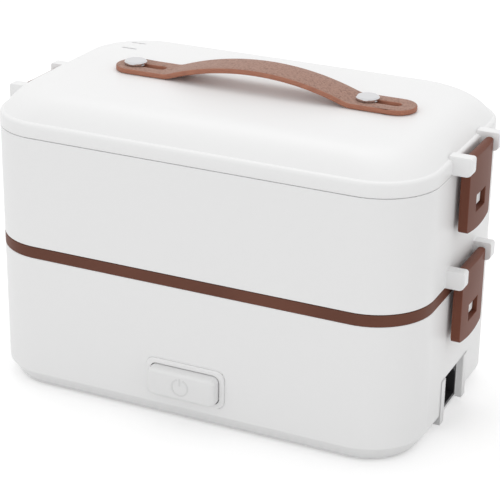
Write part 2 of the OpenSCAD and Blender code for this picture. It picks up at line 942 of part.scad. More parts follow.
module heater_plate() {
    color("#b9bcbf")
        difference() {
            slab(heater_l, heater_w, heater_r, under_z, pan_floor);
            element_path(element_d + 2 * pin_fit, 4);
        }
}

// The element is half sunk in the plate's underside
module element_path(d, past) {
    for (s = [-1, 1])
        rod_x(d, element_left - past, element_bend, s * element_y, under_z);
    translate([element_bend, 0, under_z])
        rotate([0, 0, -90])
            rotate_extrude(angle = 180)
                translate([element_y, 0])
                    circle(d = d);
}

module heater_element() {
    color("#8c8f91") {
        element_path(element_d, 0);
        for (s = [-1, 1])
            rod_x(cold_pin_d, element_left - cold_pin_l, element_left, s * element_y, under_z);
    }
}

module thermostat() {
    color("#c4a064") {
        translate([0, 0, under_z - thermostat_h])
            cylinder(d = thermostat_d, h = thermostat_h);
        translate([0, 0, under_z])
            slab(flange_l, 2 * tab_w, tab_w / 2, -flange_t, 0);
        for (s = [-1, 1])
            translate([s * tab_x, 0, tab_z])
                cube([tab_t, tab_w, tab_l], center = true);
    }
}

// Fuse under its clip; one wire bends down to the thermostat's tab
module thermal_fuse() {
    wire_x = fuse_x + fuse_l / 2 + fuse_reach;
    color("#d9d4c4") {
        rod_x(fuse_d, fuse_x - fuse_l / 2, fuse_x + fuse_l / 2, 0, fuse_z);
        rod_x(fuse_wire, fuse_x - fuse_l / 2 - fuse_reach, wire_x + fuse_wire / 2, 0, fuse_z);
        translate([wire_x, 0, tab_z - fuse_wire / 2])
            cylinder(d = fuse_wire, h = fuse_z - tab_z + fuse_wire / 2);
        rod_x(fuse_wire, wire_x, -tab_x - tab_t / 2, 0, tab_z);
        translate([fuse_x, 0, (fuse_z + under_z) / 2])
            cube([2 * fuse_l / 3, fuse_d + 1, under_z - fuse_z], center = true);
    }
}

// Cap with its rim flange and the post that works the switch
module power_button() {
    front = -half_w - cap_out;
    back = cap_back;
    edge = 0.8;
    color(white)
        union() {
            translate([0, 0, button_z])
                rotate([90, 0, 0]) {
                    translate([0, 0, -back])
                        linear_extrude(height = back - front - edge)
                            outline(cap_w, cap_h, cap_r);
                    translate([0, 0, -front - edge])
                        linear_extrude(height = edge / 2)
                            outline(cap_w - edge / 2, cap_h - edge / 2, cap_r - edge / 4);
                    translate([0, 0, -front - edge / 2])
                        linear_extrude(height = edge / 2)
                            outline(cap_w - 3 * edge / 2, cap_h - 3 * edge / 2, cap_r - 3 * edge / 4);
                    translate([0, 0, -back - flange_out])
                        linear_extrude(height = flange_out + eps)
                            outline(cap_w + 2 * flange_out, cap_h + 2 * flange_out, cap_r - flange_out);
                }
            rod_y(post_d, back, switch_face - button_travel - rest_gap, 0, switch_z);
        }
}

module button_bezel() {
    edge = 0.6;
    color(white)
        translate([0, 0, button_z])
            rotate([90, 0, 0])
                difference() {
                    union() {
                        translate([0, 0, half_w])
                            linear_extrude(height = bezel_out - edge)
                                outline(bezel_w, bezel_h, bezel_r);
                        translate([0, 0, half_w + bezel_out - edge])
                            linear_extrude(height = edge)
                                outline(bezel_w - edge, bezel_h - edge, bezel_r - edge / 2);
                        translate([0, 0, half_w - wall - 0.2])
                            linear_extrude(height = wall + 0.4)
                                square([sleeve_w(), sleeve_h()], center = true);
                    }
                    translate([0, 0, half_w - wall - 2])
                        linear_extrude(height = wall + bezel_out + 4)
                            outline(cap_w + 2 * slip, cap_h + 2 * slip, cap_r + slip);
                }
}

// Helical spring round the button's post, from the cap's flange to the board
module button_spring() {
    start = cap_back + flange_out + wire_d / 2 + pin_fit;
    run = board_y - wire_d / 2 - pin_fit - start;
    count = coil_turns * coil_steps;
    ring = [for (i = [0:count], k = [0:wire_sides - 1])
        let (a = 360 * i / coil_steps, b = 360 * k / wire_sides, r = coil_d / 2 + wire_d / 2 * cos(b))
            [r * cos(a), start + run * i / count + wire_d / 2 * sin(b), r * sin(a)]];
    skin = [for (i = [0:count - 1], k = [0:wire_sides - 1])
        let (m = i * wire_sides, j = (k + 1) % wire_sides)
            each [[m + k, m + wire_sides + j, m + wire_sides + k], [m + k, m + j, m + wire_sides + j]]];
    ends = [[for (k = [wire_sides - 1:-1:0]) k], [for (k = [0:wire_sides - 1]) count * wire_sides + k]];
    color(steel)
        translate([0, 0, switch_z])
            polyhedron(points = ring, faces = concat(skin, ends));
}

module switch_board() {
    color("#3f6b4a")
        difference() {
            translate([-board_w / 2, board_y, board_low])
                cube([board_w, board_t, board_high - board_low]);
            for (s = [-1, 1])
                rod_y(2.2, board_y - 1, board_y + board_t + 1, s * (board_w / 2 - 3), board_low + 4);
        }
}

module push_switch() {
    color("#26262a") {
        translate([0, (switch_face + knob_h + board_y) / 2, switch_z])
            cube([switch_w, board_y - switch_face - knob_h, switch_w], center = true);
        rod_y(switch_w / 2, switch_face, switch_face + knob_h + eps, 0, switch_z);
    }
}

module indicator_lamp() {
    color("#e8a24a") {
        rod_y(lamp_d, board_y - 3 * lamp_d / 2, board_y - 1, lamp_x, switch_z);
        rod_y(lamp_d + 0.8, board_y - 1, board_y, lamp_x, switch_z);
    }
}

module inlet_socket() {
    color("#1c1c1e")
        difference() {
            translate([inlet_x - inlet_l, 0, inlet_z])
                rotate([90, 0, 90])
                    linear_extrude(height = inlet_l)
                        square([inlet_w, inlet_h], center = true);
            translate([inlet_x - cavity_l, 0, inlet_z])
                rotate([90, 0, 90])
                    linear_extrude(height = cavity_l + 1)
                        cavity_outline();
            for (p = pin_places)
                translate([inlet_x - inlet_l / 2 - 1, p[0], inlet_z + p[1]])
                    cube([inlet_l, blade_w + 2 * pin_fit, blade_h + 2 * pin_fit], center = true);
        }
}

// Socket cavity: a rectangle whose two upper corners are cut off
module cavity_outline() {
    cut = 4.5;
    y = cavity_w / 2;
    z = cavity_h / 2;
    polygon([[-y, -z], [y, -z], [y, z - cut], [y - cut, z], [cut - y, z], [-y, z - cut]]);
}

module inlet_pins() {
    color("#c8a96a")
        for (p = pin_places)
            translate([terminal_x + (inlet_l + blade_out) / 2, p[0], inlet_z + p[1]])
                cube([inlet_l + blade_out, blade_w, blade_h], center = true);
}

module inlet_screws() {
    tip = inlet_x - wall;
    head = tip - inlet_screw_d;
    color(steel)
        for (s = [-1, 1]) {
            rod_x(inlet_screw_d, head, tip, s * (recess_w + cheek_t) / 2, inlet_z);
            rod_x(inlet_head_d, head - screw_head_h, head, s * (recess_w + cheek_t) / 2, inlet_z);
        }
}

// Lead along X at one level, round an elbow and along Y; where z1 is given, it then bends up to it
module lead(x0, y0, x1, y1, z, z1) {
    way = y1 < y0 ? -1 : 1;
    bend_y = y0 + way * lead_bend;
    end_y = is_undef(z1) ? y1 : y1 - way * lead_bend;
    rod_x(lead_d, x1 + lead_bend, x0, y0, z);
    translate([x1 + lead_bend, bend_y, z])
        rotate([0, 0, way < 0 ? 90 : 180])
            quarter_bend();
    rod_y(lead_d, min(bend_y, end_y), max(bend_y, end_y), x1, z);
    if (!is_undef(z1)) {
        translate([x1, end_y, z + lead_bend])
            rotate([-90, 0, way * 90])
                quarter_bend();
        translate([x1, y1, z + lead_bend])
            cylinder(d = lead_d, h = z1 - z - lead_bend);
    }
}

module quarter_bend() {
    rotate_extrude(angle = 90)
        translate([lead_bend, 0])
            circle(d = lead_d);
}

// From the inlet to the switch board
module lead_live() {
    color("#7a4a2a")
        lead(terminal_x, pin_places[0][0], board_w / 2 - 5, board_y + board_t, inlet_z + pin_places[0][1]);
}

// From the inlet to one end of the element
module lead_neutral() {
    color("#3a5f9a")
        lead(terminal_x, pin_places[1][0], cold_pin_x, -element_y, inlet_z + pin_places[1][1],
            under_z - cold_pin_d / 2 - pin_fit);
}

// From the inlet to the heater plate
module lead_earth() {
    color("#5a9a4a")
        lead(terminal_x, pin_places[2][0], heater_l / 2 - earth_in, element_y - earth_drop, inlet_z + pin_places[2][1],
            under_z - pin_fit);
}

// From the switch board to the thermostat
module lead_switched() {
    color("#7a4a2a")
        rod_y(lead_d, board_y + board_t, -tab_w / 2 - pin_fit, tab_x, tab_z);
}

// From the fuse to the other end of the element
module lead_heater() {
    color("#7a4a2a")
        lead(fuse_x - fuse_l / 2 - fuse_reach, 0, cold_pin_x, element_y, fuse_z);
}

module bottom_cover() {
    top = cover_z + cover_t;
    inset = bevel_in + wall + cover_in;
    color("#e6e4e0")
        difference() {
            inset_slab(inset, cover_z, top);
            four_corners(foot_x, foot_y)
                translate([0, 0, cover_z - 1])
                    cylinder(d = foot_d + 2 * pin_fit, h = foot_pocket + 1);
            four_corners(cover_screw_x, cover_screw_y)
                translate([0, 0, cover_z - 1]) {
                    cylinder(d = screw_d + 2 * pin_fit, h = cover_t + 2);
                    cylinder(d = screw_head_d + 2 * pin_fit, h = 1 + screw_head_h);
                }
        }
}

module cover_screws() {
    color(steel)
        four_corners(cover_screw_x, cover_screw_y)
            translate([0, 0, cover_z])
                difference() {
                    union() {
                        cylinder(d = screw_head_d, h = screw_head_h);
                        cylinder(d = screw_d, h = cover_screw_l);
                    }
                    drive_cross();
                }
}

module rubber_feet() {
    color("#4a4a4c")
        four_corners(foot_x, foot_y)
            rotate_extrude()
                polygon([[0, 0], [foot_d / 2 - 0.8, 0], [foot_d / 2, 0.8], [foot_d / 2, cover_z + foot_pocket],
                    [0, cover_z + foot_pocket]]);
}

lid_shell();
lid_liner();
lid_seal();
handle_strap();
strap_studs();
stud_nuts();
liner_screws();
on_end(true) latch(lid_z);  // lid_latch_left
on_end(false) latch(lid_z);  // lid_latch_right
on_end(true) latch(tier_z);  // tier_latch_left
on_end(false) latch(tier_z);  // tier_latch_right
on_end(true) latch_pin(lid_z);  // lid_pin_left
on_end(false) latch_pin(lid_z);  // lid_pin_right
on_end(true) latch_pin(tier_z);  // tier_pin_left
on_end(false) latch_pin(tier_z);  // tier_pin_right
upper_tier();
tier_seal();
high_place(-1) high_bowl();  // upper_bowl_left
high_place(1) high_bowl();  // upper_bowl_right
high_place(-1) high_bowl_lid();  // upper_bowl_lid_left
high_place(1) high_bowl_lid();  // upper_bowl_lid_right
high_place(-1) high_bowl_seal();  // upper_bowl_seal_left
high_place(1) high_bowl_seal();  // upper_bowl_seal_right
high_place(-1) vent_plug(tier_bowl_h());  // upper_vent_plug_left
high_place(1) vent_plug(tier_bowl_h());  // upper_vent_plug_right
low_place(-1) low_bowl();  // lower_bowl_left
low_place(1) low_bowl();  // lower_bowl_right
low_place(-1) low_bowl_lid();  // lower_bowl_lid_left
low_place(1) low_bowl_lid();  // lower_bowl_lid_right
low_place(-1) low_bowl_seal();  // lower_bowl_seal_left
low_place(1) low_bowl_seal();  // lower_bowl_seal_right
low_place(-1) vent_plug(pan_bowl_h());  // lower_vent_plug_left
low_place(1) vent_plug(pan_bowl_h());  // lower_vent_plug_right
trim_band();
base_shell();
heating_pan();
pan_gasket();
heater_plate();
heater_element();
thermostat();
thermal_fuse();
power_button();
button_bezel();
button_spring();
switch_board();
push_switch();
indicator_lamp();
inlet_socket();
inlet_pins();
inlet_screws();
lead_live();
lead_neutral();
lead_earth();
lead_switched();
lead_heater();
bottom_cover();
cover_screws();
rubber_feet();
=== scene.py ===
"""Electric lunch box with a carrying strap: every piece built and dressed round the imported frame."""
import logging
import math
from collections.abc import Sequence
from dataclasses import dataclass
from enum import Enum

import bmesh
import bpy
from bmesh.types import BMEdge, BMesh, BMVert
from mathutils import Matrix, Vector


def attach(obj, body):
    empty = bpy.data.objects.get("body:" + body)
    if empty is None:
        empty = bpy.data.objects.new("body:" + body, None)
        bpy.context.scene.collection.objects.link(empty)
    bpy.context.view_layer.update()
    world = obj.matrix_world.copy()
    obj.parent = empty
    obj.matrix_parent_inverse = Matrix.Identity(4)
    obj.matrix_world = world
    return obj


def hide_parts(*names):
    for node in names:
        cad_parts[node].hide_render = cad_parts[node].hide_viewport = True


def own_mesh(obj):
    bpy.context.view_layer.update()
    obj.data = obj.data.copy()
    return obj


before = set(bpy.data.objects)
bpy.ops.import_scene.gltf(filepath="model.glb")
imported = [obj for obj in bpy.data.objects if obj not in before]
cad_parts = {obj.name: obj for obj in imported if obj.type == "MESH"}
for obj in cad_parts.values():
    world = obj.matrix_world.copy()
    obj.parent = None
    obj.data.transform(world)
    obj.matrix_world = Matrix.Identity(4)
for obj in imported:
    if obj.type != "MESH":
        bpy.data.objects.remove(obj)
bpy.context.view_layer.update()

Triple = tuple[float, float, float]
Box = tuple[Triple, Triple]

MM = 0.001
# Points of a copied or joined mesh that lie nearer to each other than this are one point.
WELD_MM = 0.002
# Places along one line agree to this, in metres.
NEAR = 1e-6
# Edges in each corner of a large outline.
CORNER_STEPS = 14
# A full half circle is drawn this much smaller, so that the ends of its two quarters stay apart.
CORNER_SLACK_MM = 0.02
# Faces of a CAD mesh that turn by less than this lie in one plane.
ONE_PLANE = math.radians(0.4)
# An edge that turns by more than this is a square one, not a step of a rounding.
SQUARE_EDGE = math.radians(60)
# Weight at which only the largest face round a point sets the normal there.
LARGEST_FACE_ONLY = 100

log = logging.getLogger("lunch_box")


class Side(Enum):
    """End of the box, by the sign of its X."""

    LEFT = -1
    RIGHT = 1

    @property
    def word(self) -> str:
        """The side as the names of nodes say it."""
        return self.name.lower()


class Join(Enum):
    """How one solid changes another."""

    ADD = "UNION"
    CUT = "DIFFERENCE"


class Rounded(Enum):
    """What a rounding is made on."""

    EDGES = "EDGES"
    CORNERS = "VERTICES"


# ---- Nodes and colours


def linear(colour: str) -> tuple[float, float, float, float]:
    """Turns an sRGB hex colour into linear values.

    Args:
        colour: Six hex digits after a hash.

    Returns:
        Red, green, blue and an alpha of one.
    """
    parts = [int(colour[i : i + 2], 16) / 255 for i in (1, 3, 5)]
    # The numbers of the sRGB curve itself.
    red, green, blue = (p / 12.92 if p <= 0.04045 else ((p + 0.055) / 1.055) ** 2.4 for p in parts)
    return (red, green, blue, 1.0)


def add_node(
    tree: bpy.types.NodeTree,
    kind: str,
    sockets: dict | None = None,
    stops: Sequence[tuple[float, tuple]] = (),
    **settings: object,
) -> bpy.types.Node:
    """Adds one shader node with its settings and links.

    Args:
        tree: Node tree that takes the node.
        kind: The node's type.
        sockets: For each input name or number, a value or the output socket to link.
        stops: Positions and colours, where the node has a colour ramp.
        settings: Attributes of the node.

    Returns:
        The new node.
    """
    node = tree.nodes.new(kind)
    for name, value in settings.items():
        setattr(node, name, value)
    for name, value in (sockets or {}).items():
        if isinstance(value, bpy.types.NodeSocket):
            tree.links.new(value, node.inputs[name])
        else:
            node.inputs[name].default_value = value
    for number, (place, colour) in enumerate(stops):
        ramp = node.color_ramp.elements
        # A new ramp has two stops of its own.
        stop = ramp[number] if number < 2 else ramp.new(place)
        stop.position = place
        stop.color = colour
    return node


def wave_scale(period_mm: float) -> float:
    """Scale at which straight wave bands, a sine of 20 times the place, repeat every period_mm."""
    return math.tau / (20 * period_mm * MM)


# ---- Finishes


@dataclass(frozen=True)
class Shading:
    """A material in the making, with the tools that the finishes share."""

    tree: bpy.types.NodeTree
    shader: bpy.types.Node
    # Object coordinates, in metres.
    place: bpy.types.NodeSocket
    colour: str
    roughness: float

    def put(self, name: str, value: float | Triple) -> None:
        """Sets one of the shader's inputs."""
        self.shader.inputs[name].default_value = value

    def math(self, operation: str, first: object, second: object) -> bpy.types.NodeSocket:
        """Joins two values.

        Args:
            operation: The node's name for it.
            first: Number or socket.
            second: Number or socket.

        Returns:
            The result.
        """
        return add_node(self.tree, "ShaderNodeMath", {0: first, 1: second}, operation=operation).outputs[0]

    def stretched(self, factors: Triple) -> bpy.types.NodeSocket:
        """The place with its axes scaled, which draws a pattern out along those of small factors."""
        sockets = {"Vector": self.place, "Scale": factors}
        return add_node(self.tree, "ShaderNodeMapping", sockets).outputs["Vector"]

    def bands(self, scale: float, axis: str) -> bpy.types.NodeSocket:
        """Wave bands across an axis, or across all three at once."""
        sockets = {"Vector": self.place, "Scale": scale}
        return add_node(self.tree, "ShaderNodeTexWave", sockets, bands_direction=axis).outputs["Fac"]

    def speckle(
        self, size_mm: float, detail: float = 2.0, place: bpy.types.NodeSocket | None = None
    ) -> bpy.types.NodeSocket:
        """Noise whose patches measure about size_mm.

        Args:
            size_mm: Size of a patch in millimetres.
            detail: Finer layers on top.
            place: Coordinates that carry the noise, where they are other than the object's.

        Returns:
            The noise's value.
        """
        sockets = {"Vector": place or self.place, "Scale": 1 / (size_mm * MM), "Detail": detail}
        return add_node(self.tree, "ShaderNodeTexNoise", sockets).outputs["Fac"]

    def relief(self, height: bpy.types.NodeSocket, depth_mm: float, strength: float) -> None:
        """Lets a height stand out of the surface.

        Args:
            height: Height from 0 to 1.
            depth_mm: What a height of 1 measures.
            strength: Share of it that shows.
        """
        sockets = {"Height": height, "Distance": depth_mm * MM, "Strength": strength}
        bump = add_node(self.tree, "ShaderNodeBump", sockets)
        self.tree.links.new(bump.outputs["Normal"], self.shader.inputs["Normal"])

    def varied_roughness(self, value: bpy.types.NodeSocket, spread: float) -> None:
        """Lets the roughness wander round its mean.

        Args:
            value: Noise from 0 to 1.
            spread: How far it goes to each side.
        """
        sockets = {"Value": value, "To Min": self.roughness - spread, "To Max": self.roughness + spread}
        span = add_node(self.tree, "ShaderNodeMapRange", sockets)
        self.tree.links.new(span.outputs["Result"], self.shader.inputs["Roughness"])

    def mottled(self, value: bpy.types.NodeSocket, other: str, low: float = 0.35, high: float = 0.65) -> None:
        """Mixes the colour with another one where the value is high.

        Args:
            value: Noise or pattern from 0 to 1.
            other: The other colour.
            low: Value up to which the first colour is pure.
            high: Value from which the other one is.
        """
        stops = [(low, linear(self.colour)), (high, linear(other))]
        ramp = add_node(self.tree, "ShaderNodeValToRGB", {"Fac": value}, stops)
        self.tree.links.new(ramp.outputs["Color"], self.shader.inputs["Base Color"])

    def lit_inside(self, share: float, reach_mm: float) -> None:
        """Lets light enter the surface and leave it a little further on.

        Args:
            share: How much of the light does so.
            reach_mm: How far it spreads.
        """
        self.put("Subsurface Weight", share)
        self.put("Subsurface Radius", (1.0, 1.0, 1.0))
        self.put("Subsurface Scale", reach_mm * MM)


@dataclass(frozen=True)
class Finish:
    """Plain surface of one colour, which the finishes below refine."""

    name: str
    colour: str
    roughness: float
    metallic: float = 0.0

    def material(self) -> bpy.types.Material:
        """The finish as a material, made at its first use.

        Returns:
            The material.
        """
        known = bpy.data.materials.get(self.name)
        if known is not None:
            return known
        made = bpy.data.materials.new(self.name)
        made.use_nodes = True
        tree = made.node_tree
        tree.nodes.clear()
        shader = add_node(
            tree,
            "ShaderNodeBsdfPrincipled",
            {"Base Color": linear(self.colour), "Roughness": self.roughness, "Metallic": self.metallic},
        )
        add_node(tree, "ShaderNodeOutputMaterial", {"Surface": shader.outputs["BSDF"]})
        place = add_node(tree, "ShaderNodeTexCoord").outputs["Object"]
        self.refine(Shading(tree, shader, place, self.colour, self.roughness))
        return made

    def refine(self, shade: Shading) -> None:
        """Adds what the surface shows beyond its colour.

        Args:
            shade: The material in the making.
        """


@dataclass(frozen=True)
class MouldedPlastic(Finish):
    """Injection-moulded plastic from a spark-eroded tool: an even satin sheen with a barely seen grain."""

    # Spark erosion leaves pits of about 0.1 mm; they are drawn coarser so that the sheen breaks up.
    grain_mm: float = 0.9
    grain_depth_mm: float = 0.02
    grain_share: float = 0.35
    # The melt's flow changes the sheen slowly along a wall.
    flow_mm: float = 45.0
    flow_spread: float = 0.05
    other: str | None = None
    gloss: float = 0.5
    ior: float = 1.49

    def refine(self, shade: Shading) -> None:
        """Adds the tool's grain and the slow change of sheen over a large wall.

        Args:
            shade: The material in the making.
        """
        shade.put("IOR", self.ior)
        shade.put("Specular IOR Level", self.gloss)
        grain = shade.speckle(self.grain_mm)
        shade.relief(grain, self.grain_depth_mm, self.grain_share)
        flow = shade.speckle(self.flow_mm)
        shade.varied_roughness(flow, self.flow_spread)
        if self.other is not None:
            shade.mottled(flow, self.other)


@dataclass(frozen=True)
class PebbledLeather(Finish):
    """Bonded leather pressed with a pebble grain: dull, with painted shade that darkens the valleys between
    rounded pebbles.
    """

    # The valleys between the pebbles are painted in this darker colour as shade.
    other: str = "#7f5a4a"
    # Real pebbles of this grain measure 0.5 to 0.8 mm; they are drawn a little coarser so that they show.
    pebble_mm: float = 1.0
    depth_mm: float = 0.16
    depth_share: float = 0.6
    # The pebbles' outlines wander by up to bend_by_mm, so that no row of them is straight.
    bend_mm: float = 1.1
    bend_by_mm: float = 0.9
    tone_mm: float = 1.5
    tone_low: float = 0.18
    tone_high: float = 0.52
    spread: float = 0.06
    # Loose fibre ends give dull leather a faint sheen where one looks along it.
    sheen: float = 0.12
    sheen_roughness: float = 0.5
    ior: float = 1.45

    def refine(self, shade: Shading) -> None:
        """Adds the pebbles, painted shade in their valleys and a slow change of tone.

        Args:
            shade: The material in the making.
        """
        shade.put("IOR", self.ior)
        shade.put("Sheen Weight", self.sheen)
        shade.put("Sheen Roughness", self.sheen_roughness)
        drift = shade.speckle(self.tone_mm)
        tree, place = shade.tree, shade.place
        way = add_node(tree, "ShaderNodeTexNoise", {"Vector": place, "Scale": 1 / (self.bend_mm * MM)})
        bent = add_node(
            tree,
            "ShaderNodeMix",
            {"Factor": self.bend_by_mm * MM, "A": place, "B": way.outputs["Color"]},
            data_type="RGBA",
            blend_type="ADD",
        )
        pebbles = add_node(
            tree,
            "ShaderNodeTexVoronoi",
            {"Vector": bent.outputs["Result"], "Scale": 1 / (self.pebble_mm * MM)},
            feature="F1",
        ).outputs["Distance"]
        crowns = shade.math("SUBTRACT", 1.0, pebbles)
        shade.relief(crowns, self.depth_mm, self.depth_share)
        # Painted shade: the darker colour goes where a point lies far from its pebble's middle, in the
        # valleys, and more where the drift is high.
        tone = shade.math("MULTIPLY", pebbles, drift)
        shade.mottled(tone, self.other, self.tone_low, self.tone_high)
        shade.varied_roughness(drift, self.spread)


@dataclass(frozen=True)
class CutEdge(Finish):
    """Cut and dyed edge of the strap: smoother than the grain and redder, with faint fibres along it."""

    other: str = "#97604a"
    # Real fibres are under 0.1 mm thick; they are drawn coarser so that the edge isn't one flat tone.
    fibre_mm: float = 0.5
    stretch: Triple = (0.12, 1.0, 1.0)
    depth_mm: float = 0.05
    depth_share: float = 0.35

    def refine(self, shade: Shading) -> None:
        """Adds fibres that run along the strap.

        Args:
            shade: The material in the making.
        """
        fibres = shade.speckle(self.fibre_mm, place=shade.stretched(self.stretch))
        shade.relief(fibres, self.depth_mm, self.depth_share)
        shade.mottled(fibres, self.other)


@dataclass(frozen=True)
class DrawnMetal(Finish):
    """Rolled or drawn metal with a satin surface: fine lines along one axis that draw out its highlights."""

    # Rolling and grinding leave lines of 0.05 to 0.1 mm; they are drawn coarser so that they show.
    line_mm: float = 0.5
    line_layers: float = 3.0
    lines: Triple = (0.03, 1.0, 1.0)
    depth_mm: float = 0.006
    depth_share: float = 0.4
    spread: float = 0.06
    # Patches of another tone, where plating or heat has changed the surface.
    other: str | None = None
    patch_mm: float = 9.0
    patch_layers: float = 4.0

    def refine(self, shade: Shading) -> None:
        """Adds the lines in relief and roughness, and the patches.

        Args:
            shade: The material in the making.
        """
        strokes = shade.speckle(self.line_mm, self.line_layers, shade.stretched(self.lines))
        shade.relief(strokes, self.depth_mm, self.depth_share)
        shade.varied_roughness(strokes, self.spread)
        if self.other is not None:
            patches = shade.speckle(self.patch_mm, self.patch_layers)
            shade.mottled(patches, self.other)


@dataclass(frozen=True)
class MirrorPlate(Finish):
    """Nickel and chrome plate over a turned head: a mirror with hairline marks from handling."""

    smudge_mm: float = 2.0
    smudge_layers: float = 4.0
    spread: float = 0.03
    # Turning leaves ripples of about a tenth of this, too fine to show at their real size.
    ripple_mm: float = 1.5
    depth_mm: float = 0.002
    depth_share: float = 0.3

    def refine(self, shade: Shading) -> None:
        """Adds the smudges that dull a mirror here and there.

        Args:
            shade: The material in the making.
        """
        smudges = shade.speckle(self.smudge_mm, self.smudge_layers)
        shade.varied_roughness(smudges, self.spread)
        shade.relief(shade.speckle(self.ripple_mm), self.depth_mm, self.depth_share)


@dataclass(frozen=True)
class Translucent(Finish):
    """Soft surface that light enters: shallow pits and a slow change of sheen over a glow from below."""

    glow: float = 0.0
    glow_mm: float = 1.0
    pit_mm: float = 1.0
    depth_mm: float = 0.01
    depth_share: float = 0.3
    bloom_mm: float = 10.0
    spread: float = 0.05
    ior: float = 1.45

    def refine(self, shade: Shading) -> None:
        """Adds the light that spreads inside, the pits and the changes of sheen.

        Args:
            shade: The material in the making.
        """
        shade.put("IOR", self.ior)
        shade.lit_inside(self.glow, self.glow_mm)
        shade.relief(shade.speckle(self.pit_mm), self.depth_mm, self.depth_share)
        shade.varied_roughness(shade.speckle(self.bloom_mm), self.spread)


@dataclass(frozen=True)
class SoftRubber(Translucent):
    """Moulded silicone or rubber: dull, slightly see-through where it is pale, with dust-fine pits."""

    glow_mm: float = 0.8
    # The mould's pits are dust-fine; they are drawn coarser so that the dullness isn't flat.
    pit_mm: float = 0.7
    depth_mm: float = 0.015
    depth_share: float = 0.4
    bloom_mm: float = 6.0
    ior: float = 1.41


@dataclass(frozen=True)
class MilkyPlastic(Translucent):
    """Unpigmented polypropylene: milky, with light that spreads a little below its glossy face."""

    glow: float = 0.25
    glow_mm: float = 1.2
    # A polished mould leaves next to no grain; it is drawn coarse and shallow so that the gloss breaks up.
    pit_mm: float = 1.4
    # Flow marks change the sheen slowly.
    bloom_mm: float = 20.0
    spread: float = 0.06
    ior: float = 1.49


@dataclass(frozen=True)
class WovenLaminate(Finish):
    """Glass-fibre board under a green mask: the weave shows as a faint grid of threads."""

    other: str = "#2c6a41"
    # Glass threads lie about 0.6 mm apart; they are drawn six times coarser so that the grid shows.
    thread_mm: float = 3.77
    depth_mm: float = 0.02
    depth_share: float = 0.5
    tone_low: float = 0.1
    tone_high: float = 0.9

    def refine(self, shade: Shading) -> None:
        """Adds the threads both ways.

        Args:
            shade: The material in the making.
        """
        warp, weft = (shade.bands(wave_scale(self.thread_mm), axis) for axis in ("X", "Z"))
        weave = shade.math("MULTIPLY", warp, weft)
        shade.relief(weave, self.depth_mm, self.depth_share)
        shade.mottled(weave, self.other, self.tone_low, self.tone_high)


@dataclass(frozen=True)
class StripedSheath(Finish):
    """Soft PVC insulation with a second colour wound round it, as an earth lead has."""

    other: str = "#e3c62c"
    # Along a straight lead the second colour comes back after this length; the long turn keeps it calm.
    turn_mm: float = 113.1
    tone_low: float = 0.46
    tone_high: float = 0.54
    ior: float = 1.53

    def refine(self, shade: Shading) -> None:
        """Adds the second colour in slanted bands.

        Args:
            shade: The material in the making.
        """
        shade.put("IOR", self.ior)
        # Diagonal bands follow the sum of the three places at half the rate of straight ones.
        bands = shade.bands(2 * wave_scale(self.turn_mm), "DIAGONAL")
        shade.mottled(bands, self.other, self.tone_low, self.tone_high)


